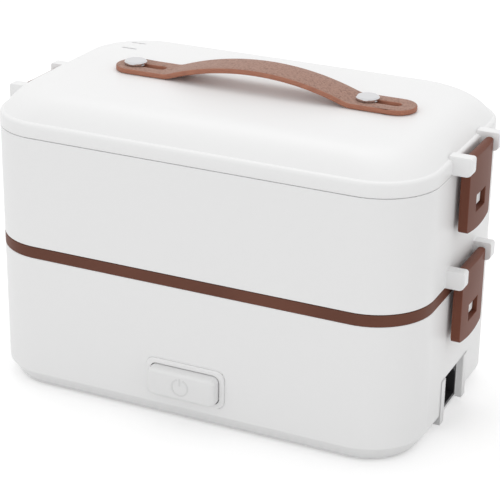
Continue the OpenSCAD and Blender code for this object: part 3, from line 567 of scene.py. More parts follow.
class Finishes:
    """The finishes of this box."""

    # White ABS: broad soft highlights on the shells, a little tighter on the lid and the button.
    SHELL = MouldedPlastic("satin_white_abs", "#eeeeee", 0.42)
    LID = MouldedPlastic("satin_white_abs_lid", "#f0f0f0", 0.40)
    BUTTON = MouldedPlastic("satin_white_abs_button", "#e8e8e8", 0.38, grain_mm=0.7)
    # The sign is the same plastic in a slightly darker batch, so that it just shows on the cap.
    SIGN = MouldedPlastic("satin_grey_abs_sign", "#dedede", 0.45, grain_mm=0.7)
    # The cover comes from a coarser tool and is seen only from below.
    COVER = MouldedPlastic("plain_white_abs_cover", "#dedcd8", 0.55, grain_mm=1.2)
    # Brown pieces reflect little, so that their colour stays deep beside the white.
    LATCH = MouldedPlastic("satin_brown_abs", "#704131", 0.48, grain_mm=0.8, other="#683c2d", gloss=0.2)
    TRIM = MouldedPlastic("dull_brown_abs_trim", "#6a4234", 0.52, grain_mm=0.8, other="#633d30", gloss=0.2)
    # Glass fibres under the skin make black nylon look grey where the light grazes it.
    SOCKET = MouldedPlastic("black_glass_filled_nylon", "#222224", 0.46, grain_mm=0.7, other="#2a2a2c")
    SWITCH = MouldedPlastic("black_acetal_switch", "#1b1b1d", 0.35)
    # Strap: a dull pebbled face and a redder cut edge.
    STRAP = PebbledLeather("pebbled_bonded_leather", "#a37c6b", 0.66)
    STRAP_EDGE = CutEdge("dyed_leather_edge", "#a86e55", 0.55)
    STUD = MirrorPlate("chrome_plated_steel", "#d8d8da", 0.07, 1.0)
    # Stainless sheet and pins: clean satin metal whose highlights stretch along its lines.
    BOWL = DrawnMetal("satin_stainless_steel", "#c9cacb", 0.24, 1.0)
    PAN = DrawnMetal("drawn_stainless_steel_pan", "#c2c3c4", 0.3, 1.0, lines=(1.0, 0.03, 1.0))
    PIN = DrawnMetal("ground_steel_pin", "#bcbec0", 0.22, 1.0, lines=(1.0, 0.05, 1.0))
    # Plated and drawn steel: duller, with cloudy patches in the zinc.
    SCREW = DrawnMetal("zinc_plated_steel", "#b4b6b9", 0.34, 1.0, other="#a3a49c")
    SPRING = DrawnMetal("spring_steel_wire", "#a9abad", 0.28, 1.0)
    BRASS = DrawnMetal("nickel_plated_brass", "#c7b68c", 0.25, 1.0)
    # Cast aluminium has no lines but a fine even roughness.
    PLATE = DrawnMetal(
        "cast_aluminium", "#b9babb", 0.48, 1.0, lines=(1.0, 1.0, 1.0), line_mm=1.2, depth_mm=0.05
    )
    # Heat has darkened the sheath in patches; the thermostat's can has a yellow passivation.
    SHEATH = DrawnMetal("oxidised_heater_sheath", "#6c6a67", 0.42, 1.0, other="#585048")
    CAN = DrawnMetal("passivated_thermostat_can", "#bfa46c", 0.35, 1.0, other="#a98d5a")
    # Steatite under a thin glaze: off-white with a clear sheen.
    CERAMIC = MouldedPlastic("glazed_steatite", "#d8d3c5", 0.3, grain_mm=0.6)
    SEAL = SoftRubber("pale_silicone", "#d9d6d0", 0.5, glow=0.2)
    FOOT = SoftRubber("black_rubber", "#1f1f21", 0.7)
    # Unpigmented polypropylene: thin lids let more light through than the thick liner.
    LINER = MilkyPlastic("natural_polypropylene_liner", "#e6e4de", 0.4)
    BOWL_LID = MilkyPlastic("natural_polypropylene_bowl_lid", "#ebeae4", 0.32, glow=0.35)
    # The lamp's lens is tinted and glossy, and spreads light as the milky pieces do.
    LAMP = MilkyPlastic("amber_lamp_lens", "#e2913a", 0.15, glow=0.5)
    # The board's mask is glossy green with the weave's grid below it.
    BOARD = WovenLaminate("green_board_laminate", "#235736", 0.4)
    # Leads: smooth soft PVC in the colours of their use.
    LIVE = MouldedPlastic("brown_pvc_lead", "#54311c", 0.45)
    NEUTRAL = MouldedPlastic("blue_pvc_lead", "#24508f", 0.45)
    EARTH = StripedSheath("green_and_yellow_pvc_lead", "#3d8a34", 0.45)


# ---- Mesh tools


def at(x: float, y: float, z: float) -> Vector:
    """A point given in millimetres, in metres."""
    return Vector((x, y, z)) * MM


def new_edges(bm: BMesh, before: set[BMEdge]) -> list[BMEdge]:
    """Edges that were not there before."""
    return [edge for edge in bm.edges if edge not in before]


def rounded(
    bm: BMesh,
    geom: Sequence[BMVert] | Sequence[BMEdge],
    radius_mm: float,
    steps: int,
    what: Rounded = Rounded.EDGES,
) -> None:
    """Rounds edges, or the corners of a flat face.

    Args:
        bm: Mesh that holds them.
        geom: The edges or corners.
        radius_mm: Radius of the rounding.
        steps: Faces or edges across it.
        what: Which of the two they are.
    """
    bmesh.ops.bevel(
        bm,
        geom=geom,
        offset=radius_mm * MM,
        offset_type="OFFSET",
        segments=steps,
        profile=0.5,
        affect=what.value,
        clamp_overlap=False,
        material=-1,
    )


def rounded_loop(
    bm: BMesh,
    length: float,
    width: float,
    radius: float,
    z: float,
    x: float = 0,
    y: float = 0,
    steps: int = CORNER_STEPS,
) -> list[BMEdge]:
    """Adds a level rounded rectangle as a closed loop of edges; sizes are in millimetres.

    Args:
        bm: Mesh that takes it.
        length: Size along X.
        width: Size along Y.
        radius: Radius of its corners.
        z: Its height.
        x: Its middle along X.
        y: Its middle along Y.
        steps: Edges in each corner.

    Returns:
        The loop's edges.
    """
    before = set(bm.edges)
    spot = Matrix.Translation(at(x, y, z)) @ Matrix.Diagonal((length * MM, width * MM, 1, 1))
    square = bmesh.ops.create_grid(bm, x_segments=1, y_segments=1, size=0.5, matrix=spot)["verts"]
    rounded(bm, square, radius, steps, Rounded.CORNERS)
    loop = new_edges(bm, before)
    inside = list({face for edge in loop for face in edge.link_faces})
    bmesh.ops.delete(bm, geom=inside, context="FACES_ONLY")
    return loop


def loft(bm: BMesh, loops: Sequence[list[BMEdge]]) -> None:
    """Bridges each loop to the next."""
    for low, high in zip(loops, loops[1:]):
        bmesh.ops.bridge_loops(bm, edges=[*low, *high])


def cap(bm: BMesh, loop: list[BMEdge]) -> None:
    """Fills one loop with a face."""
    bmesh.ops.edgeloop_fill(bm, edges=loop)


def outward(bm: BMesh) -> None:
    """Turns every face of a closed mesh outwards."""
    bmesh.ops.recalc_face_normals(bm, faces=bm.faces)


def touches(edge: BMEdge, box: Box) -> bool:
    """Whether an end of an edge lies in a box given in millimetres."""
    low, high = box
    return any(all(a <= c / MM <= b for a, c, b in zip(low, vert.co, high)) for vert in edge.verts)


def round_edges(
    bm: BMesh, width_mm: float, steps: int, crisp: Sequence[Box] = (), sharper_than: float = 30
) -> None:
    """Rounds every edge that turns by more than an angle.

    Args:
        bm: Mesh with shared vertices.
        width_mm: Radius of the rounding, about.
        steps: Faces across it.
        crisp: Boxes in which edges lie too close together to be rounded.
        sharper_than: The angle in degrees.
    """
    limit = math.radians(sharper_than)
    sharp = [
        edge
        for edge in bm.edges
        if edge.is_manifold
        and edge.calc_face_angle(0) > limit
        and not any(touches(edge, box) for box in crisp)
    ]
    rounded(bm, sharp, width_mm, steps)


def block(bm: BMesh, low: Sequence[float], high: Sequence[float]) -> list[BMVert]:
    """Adds an upright box.

    Args:
        bm: Mesh that takes it.
        low: Its lowest corner in millimetres.
        high: Its highest corner in millimetres.

    Returns:
        Its vertices.
    """
    middle = [(a + b) / 2 for a, b in zip(low, high)]
    spot = Matrix.Translation(at(*middle)) @ Matrix.Diagonal((*((b - a) * MM for a, b in zip(low, high)), 1))
    return bmesh.ops.create_cube(bm, size=1, matrix=spot)["verts"]


def rod(
    bm: BMesh, start: Sequence[float], end: Sequence[float], diameter: float, steps: int = 32
) -> list[BMVert]:
    """Adds a cylinder between two points given in millimetres.

    Args:
        bm: Mesh that takes it.
        start: Middle of one end.
        end: Middle of the other.
        diameter: Its diameter.
        steps: Faces round it.

    Returns:
        Its vertices.
    """
    way = at(*end) - at(*start)
    spot = Matrix.Translation((at(*end) + at(*start)) / 2) @ way.to_track_quat("Z", "Y").to_matrix().to_4x4()
    radius = diameter / 2 * MM
    return bmesh.ops.create_cone(
        bm, cap_ends=True, segments=steps, radius1=radius, radius2=radius, depth=way.length, matrix=spot
    )["verts"]


def both_ends(bm: BMesh) -> None:
    """Repeats what is on the right end on the left, turned about the middle.

    Args:
        bm: Mesh that holds it and takes its twin.
    """
    twin = bmesh.ops.duplicate(bm, geom=[*bm.verts, *bm.edges, *bm.faces])["geom"]
    moved = [v for v in twin if isinstance(v, BMVert)]
    bmesh.ops.rotate(bm, cent=(0, 0, 0), matrix=Matrix.Rotation(math.pi, 3, "Z"), verts=moved)


def combined(body: BMesh, tool: BMesh, how: Join) -> BMesh:
    """Adds a closed mesh to another one or cuts it away; both are used up.

    Args:
        body: The mesh that is changed.
        tool: The mesh that changes it, of one or more separate solids.
        how: Whether it is added or cut.

    Returns:
        The result.
    """
    parts = []
    for bm in (body, tool):
        mesh = bpy.data.meshes.new("rough")
        bm.to_mesh(mesh)
        bm.free()
        parts.append(bpy.data.objects.new("rough", mesh))
        bpy.context.scene.collection.objects.link(parts[-1])
    step = parts[0].modifiers.new("join", "BOOLEAN")
    step.operation = how.value
    step.solver = "EXACT"
    step.object = parts[1]
    graph = bpy.context.evaluated_depsgraph_get()
    result = bmesh.new()
    result.from_mesh(parts[0].evaluated_get(graph).to_mesh())
    for part in parts:
        mesh = part.data
        bpy.data.objects.remove(part)
        bpy.data.meshes.remove(mesh)
    bmesh.ops.remove_doubles(result, verts=result.verts, dist=WELD_MM * MM)
    return result


def copied(node: str) -> BMesh:
    """A copy of a CAD node's mesh with its triangles joined and its flat faces whole.

    Args:
        node: The CAD node.

    Returns:
        The copy.
    """
    bm = bmesh.new()
    bm.from_mesh(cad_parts[node].data)
    bmesh.ops.remove_doubles(bm, verts=bm.verts, dist=WELD_MM * MM)
    bmesh.ops.dissolve_limit(bm, angle_limit=ONE_PLANE, verts=bm.verts, edges=bm.edges)
    return bm


def finished(
    bm: BMesh,
    name: str,
    finishes: Finish | Sequence[Finish],
    body: str,
    replaced: Sequence[str] = (),
    sharp_from: float = 30,
) -> bpy.types.Object:
    """Turns a mesh into a dressed piece that rides on its body.

    Args:
        bm: The mesh, used up by this.
        name: The piece's name.
        finishes: Its finish, or one for each material number.
        body: Body that carries it.
        replaced: CAD nodes that it stands for.
        sharp_from: Angle in degrees from which an edge stays crisp.

    Returns:
        The new object.
    """
    mesh = bpy.data.meshes.new(name)
    bm.to_mesh(mesh)
    bm.free()
    mesh.shade_smooth()
    mesh.set_sharp_from_angle(angle=math.radians(sharp_from))
    piece = bpy.data.objects.new(name, mesh)
    bpy.context.scene.collection.objects.link(piece)
    for finish in [finishes] if isinstance(finishes, Finish) else finishes:
        mesh.materials.append(finish.material())
    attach(piece, body)
    if replaced:
        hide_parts(*replaced)
    log.info("%s: %d faces on %s", name, len(mesh.polygons), body)
    return piece


def dress(finish: Finish, *nodes: str) -> None:
    """Gives CAD nodes their finish.

    Args:
        finish: The finish.
        nodes: The nodes that take it.
    """
    for node in nodes:
        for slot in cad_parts[node].material_slots:
            slot.material = finish.material()
        log.info("%s: %s", node, finish.name)


def softened(
    node: str,
    finish: Finish,
    body: str,
    width_mm: float,
    steps: int = 2,
    crisp: Sequence[Box] = (),
) -> bpy.types.Object:
    """Replaces a CAD node by a copy whose edges are rounded.

    Args:
        node: The CAD node.
        finish: Its finish.
        body: Body that carries it.
        width_mm: Radius of the rounding.
        steps: Faces across it.
        crisp: Boxes in which its edges stay as they are.

    Returns:
        The new object.
    """
    bm = copied(node)
    round_edges(bm, width_mm, steps, crisp)
    piece = finished(bm, f"{node}_dressed", finish, body, [node], sharp_from=50)
    # Large flat faces keep their own normal up to the rounding, so that no streaks cross them.
    even = piece.modifiers.new("even_faces", "WEIGHTED_NORMAL")
    even.mode = "FACE_AREA"
    even.weight = LARGEST_FACE_ONLY
    even.keep_sharp = True
    return piece


# ---- Studio


@dataclass(frozen=True)
class SoftLamp:
    """Square lamp that faces the box."""

    name: str
    # Its place and the length of its side, in metres.
    spot: Triple
    size: float
    watts: float

    def hang(self, aim: Vector) -> None:
        """Puts the lamp at its place.

        Args:
            aim: Point that it faces.
        """
        lamp = bpy.data.lights.new(self.name, "AREA")
        lamp.shape = "SQUARE"
        lamp.size = self.size
        lamp.energy = self.watts
        placed = bpy.data.objects.new(self.name, lamp)
        placed.location = self.spot
        placed.rotation_euler = (aim - Vector(self.spot)).to_track_quat("-Z", "Y").to_euler()
        bpy.context.scene.collection.objects.link(placed)


@dataclass
class Studio:
    """Floor, white surroundings, soft lamps and the camera at the photograph's view."""

    # The camera's place as a fit to the photograph gave it: degrees, millimetres and pixels.
    azimuth: float = 24.75
    elevation: float = 23.14
    roll: float = 0.87
    distance: float = 889.41
    aside: float = 1.94
    above: float = -9.38
    aim_z: float = 80.0
    focal_px: float = 1700.17
    frame_px: float = 500.0
    sensor: float = 36.0
    # Light of the white surroundings, and what the floor gives off where the camera sees it.
    sky: float = 0.80
    floor_colour: str = "#e4e4e4"
    floor_lift: float = 0.36
    floor_half_m: float = 4.0
    lamps: tuple[SoftLamp, ...] = (
        SoftLamp("lamp_above", (-0.2, 0.35, 1.5), 1.0, 4.5),
        SoftLamp("lamp_front", (-0.7, -1.8, 0.45), 1.2, 4.5),
        SoftLamp("lamp_right", (1.6, -0.5, 0.7), 1.2, 2.0),
    )

    def build(self) -> None:
        """Sets the view transform, camera, world, floor and lamps."""
        bpy.context.scene.view_settings.view_transform = "Standard"
        self.camera()
        self.world()
        self.floor()
        for lamp in self.lamps:
            lamp.hang(at(0, 0, self.aim_z))

    def camera(self) -> None:
        """Places the camera where the photograph was taken from."""
        turn, rise, tilt = (math.radians(v) for v in (self.azimuth, self.elevation, self.roll))
        back = Vector((math.sin(turn) * math.cos(rise), -math.cos(turn) * math.cos(rise), math.sin(rise)))
        level = Vector((math.cos(turn), math.sin(turn), 0))
        upright = back.cross(level)
        right = level * math.cos(tilt) + upright * math.sin(tilt)
        top = upright * math.cos(tilt) - level * math.sin(tilt)
        spot = at(0, 0, self.aim_z) + (back * self.distance + right * self.aside + top * self.above) * MM
        lens = bpy.data.cameras.new("camera")
        lens.sensor_width = self.sensor
        lens.lens = self.focal_px / self.frame_px * self.sensor
        lens.clip_start = 0.01
        view = bpy.data.objects.new("camera", lens)
        view.matrix_world = Matrix.Translation(spot) @ Matrix((right, top, back)).transposed().to_4x4()
        bpy.context.scene.collection.objects.link(view)
        bpy.context.scene.camera = view

    def seen_ray(self, tree: bpy.types.NodeTree) -> bpy.types.NodeSocket:
        """One where a ray comes from the camera, a mirror or a clear piece.

        Args:
            tree: Node tree of the world or the floor.

        Returns:
            The socket with that value.
        """
        path = add_node(tree, "ShaderNodeLightPath").outputs
        some = add_node(
            tree, "ShaderNodeMath", {0: path["Is Camera Ray"], 1: path["Is Glossy Ray"]}, operation="MAXIMUM"
        ).outputs[0]
        return add_node(
            tree, "ShaderNodeMath", {0: some, 1: path["Is Transmission Ray"]}, operation="MAXIMUM"
        ).outputs[0]

    def world(self) -> None:
        """White surroundings that light the object more gently than they look."""
        world = bpy.data.worlds.new("white_room")
        bpy.context.scene.world = world
        world.use_nodes = True
        tree = world.node_tree
        tree.nodes.clear()
        light = add_node(tree, "ShaderNodeBackground", {"Color": (1, 1, 1, 1), "Strength": self.sky})
        seen = add_node(tree, "ShaderNodeBackground", {"Color": (1, 1, 1, 1), "Strength": 1.0})
        both = add_node(
            tree, "ShaderNodeMixShader", {0: self.seen_ray(tree), 1: light.outputs[0], 2: seen.outputs[0]}
        )
        add_node(tree, "ShaderNodeOutputWorld", {"Surface": both.outputs[0]})

    def floor(self) -> None:
        """Pale floor that turns white for the camera and keeps the shadow."""
        bm = bmesh.new()
        bmesh.ops.create_grid(bm, x_segments=1, y_segments=1, size=self.floor_half_m)
        mesh = bpy.data.meshes.new("floor")
        bm.to_mesh(mesh)
        bm.free()
        ground = bpy.data.objects.new("floor", mesh)
        bpy.context.scene.collection.objects.link(ground)
        made = bpy.data.materials.new("pale_floor")
        made.use_nodes = True
        tree = made.node_tree
        tree.nodes.clear()
        matt = add_node(tree, "ShaderNodeBsdfDiffuse", {"Color": linear(self.floor_colour)})
        glow = add_node(tree, "ShaderNodeEmission", {"Color": (1, 1, 1, 1), "Strength": self.floor_lift})
        lifted = add_node(tree, "ShaderNodeAddShader", {0: matt.outputs[0], 1: glow.outputs[0]})
        both = add_node(
            tree, "ShaderNodeMixShader", {0: self.seen_ray(tree), 1: matt.outputs[0], 2: lifted.outputs[0]}
        )
        add_node(tree, "ShaderNodeOutputMaterial", {"Surface": both.outputs[0]})
        mesh.materials.append(made)


# ---- Sub-assemblies, with sizes in millimetres


@dataclass
class Lugs:
    """Two lugs on each end that carry a latch pin; sizes as in the frame."""

    wall_x: float = 115.5
    out_x: float = 127.2
    inner_y: float = 17.8
    thick: float = 6.0
    height: float = 9.6
    # Outer corners of a lug, low and high, and the steps of each; then its remaining edges.
    low_r: float = 3.0
    low_steps: int = 7
    high_r: float = 1.4
    high_steps: int = 5
    edge_r: float = 0.45
    edge_steps: int = 3
    # Edges nearer than this to the wall's inside stay as they are.
    wall_spare: float = 0.1
    pin_x: float = 122.6
    pin_up: float = 4.7
    bore: float = 2.5
    bore_half: float = 21.85

    def solids(self, low: float) -> BMesh:
        """The four lugs whose lower faces are at a height.

        Args:
            low: That height in millimetres.

        Returns:
            Four closed solids.
        """
        bm = bmesh.new()
        for side in (-1, 1):
            middle = side * (self.inner_y + self.thick / 2)
            block(
                bm,
                (self.wall_x, middle - self.thick / 2, low),
                (self.out_x, middle + self.thick / 2, low + self.height),
            )
        for height, radius, steps in (
            (low, self.low_r, self.low_steps),
            (low + self.height, self.high_r, self.high_steps),
        ):
            rim = [
                edge
                for edge in bm.edges
                if all(abs(v.co.x - self.out_x * MM) < NEAR for v in edge.verts)
                and all(abs(v.co.z - height * MM) < NEAR for v in edge.verts)
            ]
            rounded(bm, rim, radius, steps)
        off_wall = (self.wall_x + self.wall_spare) * MM
        ends = [
            edge
            for edge in bm.edges
            if edge.calc_face_angle(0) > SQUARE_EDGE and max(v.co.x for v in edge.verts) > off_wall
        ]
        rounded(bm, ends, self.edge_r, self.edge_steps)
        both_ends(bm)
        return bm

    def bores(self, low: float) -> BMesh:
        """The blind bores across the lugs for the latch pins.

        Args:
            low: Height of the lugs' lower faces in millimetres.

        Returns:
            Two closed solids to cut away.
        """
        bm = bmesh.new()
        level = low + self.pin_up
        rod(bm, (self.pin_x, -self.bore_half, level), (self.pin_x, self.bore_half, level), self.bore)
        both_ends(bm)
        return bm


@dataclass
class Lid:
    """Outer lid with its cushion-shaped top, lugs, steam slits, liner and seal."""

    length: float = 235.0
    width: float = 140.0
    corner: float = 31.0
    wall: float = 2.4
    rim_rise: float = 0.05
    low: float = 139.8
    # The lower edge's rounding, and where its middle point lies from both faces.
    edge_r: float = 0.3
    edge_middle: float = 0.08
    shoulder: float = 147.5
    shoulder_r: float = 2.0
    shoulder_steps: int = 5
    # The dome rises by this over its run from the shoulder; the power says how soon it flattens.
    dome: float = 12.0
    run: float = 22.0
    power: float = 3.0
    dome_steps: int = 16
    # For each millimetre of the run the corners' radius gains this much and loses one.
    corner_give: float = 1.08
    post: tuple[float, float] = (93.5, 46.0)
    post_d: float = 7.0
    post_low: float = 141.8
    post_high: float = 156.2
    screw_bore: float = 3.1
    screw_top: float = 148.8
    stud_x: float = 64.5
    stud_bore: float = 4.1
    # Cutters reach this far out of the plateau's two faces.
    cut_spare: float = 1.0
    slit_x: float = -86.0
    slit_rows: tuple[float, float] = (32.0, 43.0)
    slit_l: float = 9.0
    slit_w: float = 1.2
    slit_steps: int = 5
    # The slits lie on the dome's slope, so their cutters reach this far below the plateau.
    slit_reach: float = 12.0

    def profile(self, wall: float) -> list[tuple[float, float]]:
        """Inset and height of each ring, from the lower edge to the plateau.

        Args:
            wall: How far the surface lies below the outer one.

        Returns:
            Pairs in millimetres.
        """
        radius = self.shoulder_r
        rings = [
            (self.edge_r, self.low),
            (self.edge_middle, self.low + self.edge_middle),
            (0.0, self.low + self.edge_r),
        ]
        if wall:
            rings = [(0.0, self.low + wall + self.rim_rise)]
        rings.append((0.0, self.shoulder - radius))
        for step in range(1, self.shoulder_steps):
            turn = math.radians(90 * step / self.shoulder_steps)
            rings.append((radius * (1 - math.cos(turn)), self.shoulder - radius * (1 - math.sin(turn))))
        for step in range(self.dome_steps + 1):
            share = step / self.dome_steps
            height = self.dome * (1 - (1 - share) ** self.power)
            rings.append((radius + self.run * share, self.shoulder + height))
        return [(inset + wall, z - wall) for inset, z in rings]

    def rings(self, bm: BMesh, wall: float) -> list[list[BMEdge]]:
        """The loops of one side of the shell, with corners that soften towards the plateau.

        Args:
            bm: Mesh that takes them.
            wall: How far the surface lies below the outer one, in millimetres.

        Returns:
            The loops from the lower edge to the plateau.
        """
        loops = []
        for inset, z in self.profile(wall):
            run = max(0.0, inset - wall - self.shoulder_r)
            radius = self.corner - inset + run * self.corner_give
            loops.append(rounded_loop(bm, self.length - 2 * inset, self.width - 2 * inset, radius, z))
        return loops

    def shell(self) -> BMesh:
        """The plain shell, closed at its lower edge.

        Returns:
            One closed solid.
        """
        bm = bmesh.new()
        outer = self.rings(bm, 0.0)
        inner = self.rings(bm, self.wall)
        loft(bm, outer)
        loft(bm, inner)
        bmesh.ops.bridge_loops(bm, edges=[*outer[0], *inner[0]])
        cap(bm, outer[-1])
        cap(bm, inner[-1])
        outward(bm)
        return bm

    def at_posts(self, low: float, high: float, diameter: float) -> BMesh:
        """A rod on the axis of each of the four posts that take the liner's screws.

        Args:
            low: Height of its lower end in millimetres.
            high: Height of its upper end.
            diameter: Its diameter.

        Returns:
            Four closed solids.
        """
        bm = bmesh.new()
        for x in (-self.post[0], self.post[0]):
            for y in (-self.post[1], self.post[1]):
                rod(bm, (x, y, low), (x, y, high), diameter)
        return bm

    def holes(self) -> BMesh:
        """Screw bores, stud bores and the two steam slits.

        Returns:
            Closed solids to cut away.
        """
        bm = self.at_posts(self.low, self.screw_top, self.screw_bore)
        top = self.shoulder + self.dome
        for side in Side:
            x = side.value * self.stud_x
            rod(bm, (x, 0, top - self.wall - self.cut_spare), (x, 0, top + self.cut_spare), self.stud_bore)
        radius = self.slit_w / 2 - CORNER_SLACK_MM
        for y in self.slit_rows:
            loops = [
                rounded_loop(bm, self.slit_l, self.slit_w, radius, z, self.slit_x, y, self.slit_steps)
                for z in (top - self.slit_reach, top + self.wall)
            ]
            loft(bm, loops)
            for loop in loops:
                cap(bm, loop)
        outward(bm)
        return bm

    def build(self) -> None:
        """Builds the lid's pieces."""
        lugs = Lugs()
        bm = combined(self.shell(), self.at_posts(self.post_low, self.post_high, self.post_d), Join.ADD)
        bm = combined(bm, lugs.solids(self.low), Join.ADD)
        bm = combined(bm, lugs.bores(self.low), Join.CUT)
        bm = combined(bm, self.holes(), Join.CUT)
        finished(bm, "lid_top", Finishes.LID, "lid", ["lid_shell"], sharp_from=35)
        dress(Finishes.LINER, "lid_liner")
        dress(Finishes.SEAL, "lid_seal")
        dress(Finishes.SCREW, "liner_screws", "stud_nuts")
        dress(Finishes.STUD, "strap_studs")
        dress(Finishes.PIN, "lid_pin_left", "lid_pin_right")


@dataclass
class CarryStrap:
    """Flat leather strap that arches between two slotted ends."""

    length: float = 164.5
    width: float = 20.0
    thick: float = 2.6
    low: float = 159.7
    # The arch rises by this over its length; bends of the blend's radius join it to the flat ends.
    rise: float = 9.0
    arch: float = 104.0
    blend: float = 14.0
    bend_step: float = 2.0
    middle_x: float = 7.5
    # The outline's ends are half circles that keep this much apart from full ones.
    end_slack: float = 0.05
    end_steps: int = 16
    slot_from: float = 57.0
    slot_travel: float = 15.0
    slot_w: float = 5.0
    slot_steps: int = 8
    edge_r: float = 0.55
    edge_steps: int = 3
    # A face shows the grain where its normal points up by more than this, and the cut edge elsewhere.
    grain_from: float = 0.75

    def height(self, x: float) -> tuple[float, float]:
        """Rise and slope of the strap's underside: a flat arc that a tighter bend joins to each end.

        Args:
            x: Place along the strap, from its middle, in millimetres.

        Returns:
            The rise in millimetres and the slope's angle.
        """
        half = self.arch / 2
        centres = (half**2 + self.rise**2) / (2 * self.rise)
        radius = centres - self.blend
        away = min(abs(x), half)
        if away > half * radius / centres:
            drop = half - away
            height = self.blend - math.sqrt(self.blend**2 - drop**2)
            angle = math.asin(drop / self.blend)
        else:
            height = self.rise - radius + math.sqrt(radius**2 - away**2)
            angle = math.asin(away / radius)
        return height, -math.copysign(angle, x)

    def outline(self, bm: BMesh) -> None:
        """Adds the strap's flat face with its two slots.

        Args:
            bm: Mesh that takes it.
        """
        rim = rounded_loop(
            bm, self.length, self.width, self.width / 2 - self.end_slack, 0, steps=self.end_steps
        )
        slots = [
            rounded_loop(
                bm,
                self.slot_travel + self.slot_w,
                self.slot_w,
                self.slot_w / 2 - CORNER_SLACK_MM,
                0,
                side.value * (self.slot_from + self.slot_travel / 2),
                steps=self.slot_steps,
            )
            for side in Side
        ]
        bmesh.ops.triangle_fill(bm, use_beauty=True, edges=[*rim, *slots[0], *slots[1]])

    def build(self) -> None:
        """Builds the strap flat, then bends it."""
        bm = bmesh.new()
        self.outline(bm)
        half = self.length / 2
        for number in range(int(self.length / self.bend_step)):
            spot = at(-half + self.bend_step * (number + 0.5), 0, 0)
            bmesh.ops.bisect_plane(
                bm, geom=[*bm.verts, *bm.edges, *bm.faces], dist=NEAR, plane_co=spot, plane_no=(1, 0, 0)
            )
        lower = list(bm.faces)
        raised = bmesh.ops.extrude_face_region(bm, geom=lower, use_keep_orig=True)["geom"]
        bmesh.ops.translate(bm, vec=at(0, 0, self.thick), verts=[v for v in raised if isinstance(v, BMVert)])
        outward(bm)
        rims = [edge for edge in bm.edges if edge.is_manifold and edge.calc_face_angle(0) > SQUARE_EDGE]
        rounded(bm, rims, self.edge_r, self.edge_steps)
        for face in bm.faces:
            face.material_index = 0 if face.normal.z > self.grain_from else 1
        for vert in bm.verts:
            rise, angle = self.height(vert.co.x / MM)
            over = vert.co.z
            vert.co.x -= math.sin(angle) * over
            vert.co.z = (self.low + rise) * MM + math.cos(angle) * over
        bmesh.ops.translate(bm, vec=at(self.middle_x, 0, 0), verts=bm.verts)
        leather = (Finishes.STRAP, Finishes.STRAP_EDGE)
        finished(bm, "leather_strap", leather, "strap", ["handle_strap"], sharp_from=60)


@dataclass
class Latches:
    """The four brown latches."""

    edge_r: float = 0.3

    def build(self) -> None:
        """Dresses the latches."""
        for level in ("lid", "tier"):
            for side in Side:
                node = f"{level}_latch_{side.word}"
                softened(node, Finishes.LATCH, node, self.edge_r)


@dataclass
class UpperTier:
    """Upper tier's shell with its seal."""

    edge_r: float = 0.3

    def build(self) -> None:
        """Dresses the tier."""
        softened("upper_tier", Finishes.SHELL, "upper_tier", self.edge_r)
        dress(Finishes.SEAL, "tier_seal")
        dress(Finishes.PIN, "tier_pin_left", "tier_pin_right")


@dataclass
class Bowls:
    """Two bowls with lids, seals and plugs on each level."""

    levels: tuple[str, ...] = ("upper", "lower")

    def build(self) -> None:
        """Dresses the four sets."""
        for level in self.levels:
            for side in Side:
                dress(Finishes.BOWL, f"{level}_bowl_{side.word}")
                dress(Finishes.BOWL_LID, f"{level}_bowl_lid_{side.word}")
                dress(Finishes.SEAL, f"{level}_bowl_seal_{side.word}", f"{level}_vent_plug_{side.word}")


@dataclass
class Base:
    """Base shell with its trim band, heater, switch and inlet."""

    shell_r: float = 0.3
    band_r: float = 0.4
    bezel_r: float = 0.25
    # Thin lips meet round the inlet's recess and behind the bezel. A rounding there would run across
    # its neighbour and close the opening, so these edges stay crisp.
    inlet: Box = ((108.0, -21.0, 0.0), (121.0, 21.0, 32.0))
    bezel_back: Box = ((-30.0, -70.1, 0.0), (30.0, -60.0, 45.0))

    def build(self) -> None:
        """Dresses the base."""
        softened("base_shell", Finishes.SHELL, "base", self.shell_r, crisp=[self.inlet])
        softened("trim_band", Finishes.TRIM, "base", self.band_r)
        dress(Finishes.COVER, "bottom_cover")
        dress(Finishes.FOOT, "rubber_feet")
        dress(Finishes.SCREW, "cover_screws", "inlet_screws")
        dress(Finishes.PAN, "heating_pan")
        dress(Finishes.SEAL, "pan_gasket")
        dress(Finishes.PLATE, "heater_plate")
        dress(Finishes.SHEATH, "heater_element")
        dress(Finishes.CAN, "thermostat")
        dress(Finishes.CERAMIC, "thermal_fuse")
        dress(Finishes.BOARD, "switch_board")
        dress(Finishes.SWITCH, "push_switch")
        dress(Finishes.LAMP, "indicator_lamp")
        dress(Finishes.SOCKET, "inlet_socket")
        dress(Finishes.BRASS, "inlet_pins")
        dress(Finishes.LIVE, "lead_live", "lead_switched", "lead_heater")
        dress(Finishes.NEUTRAL, "lead_neutral")
        dress(Finishes.EARTH, "lead_earth")
        bezel = "button_bezel"
        softened(bezel, Finishes.SHELL, "base", self.bezel_r, crisp=[self.bezel_back])


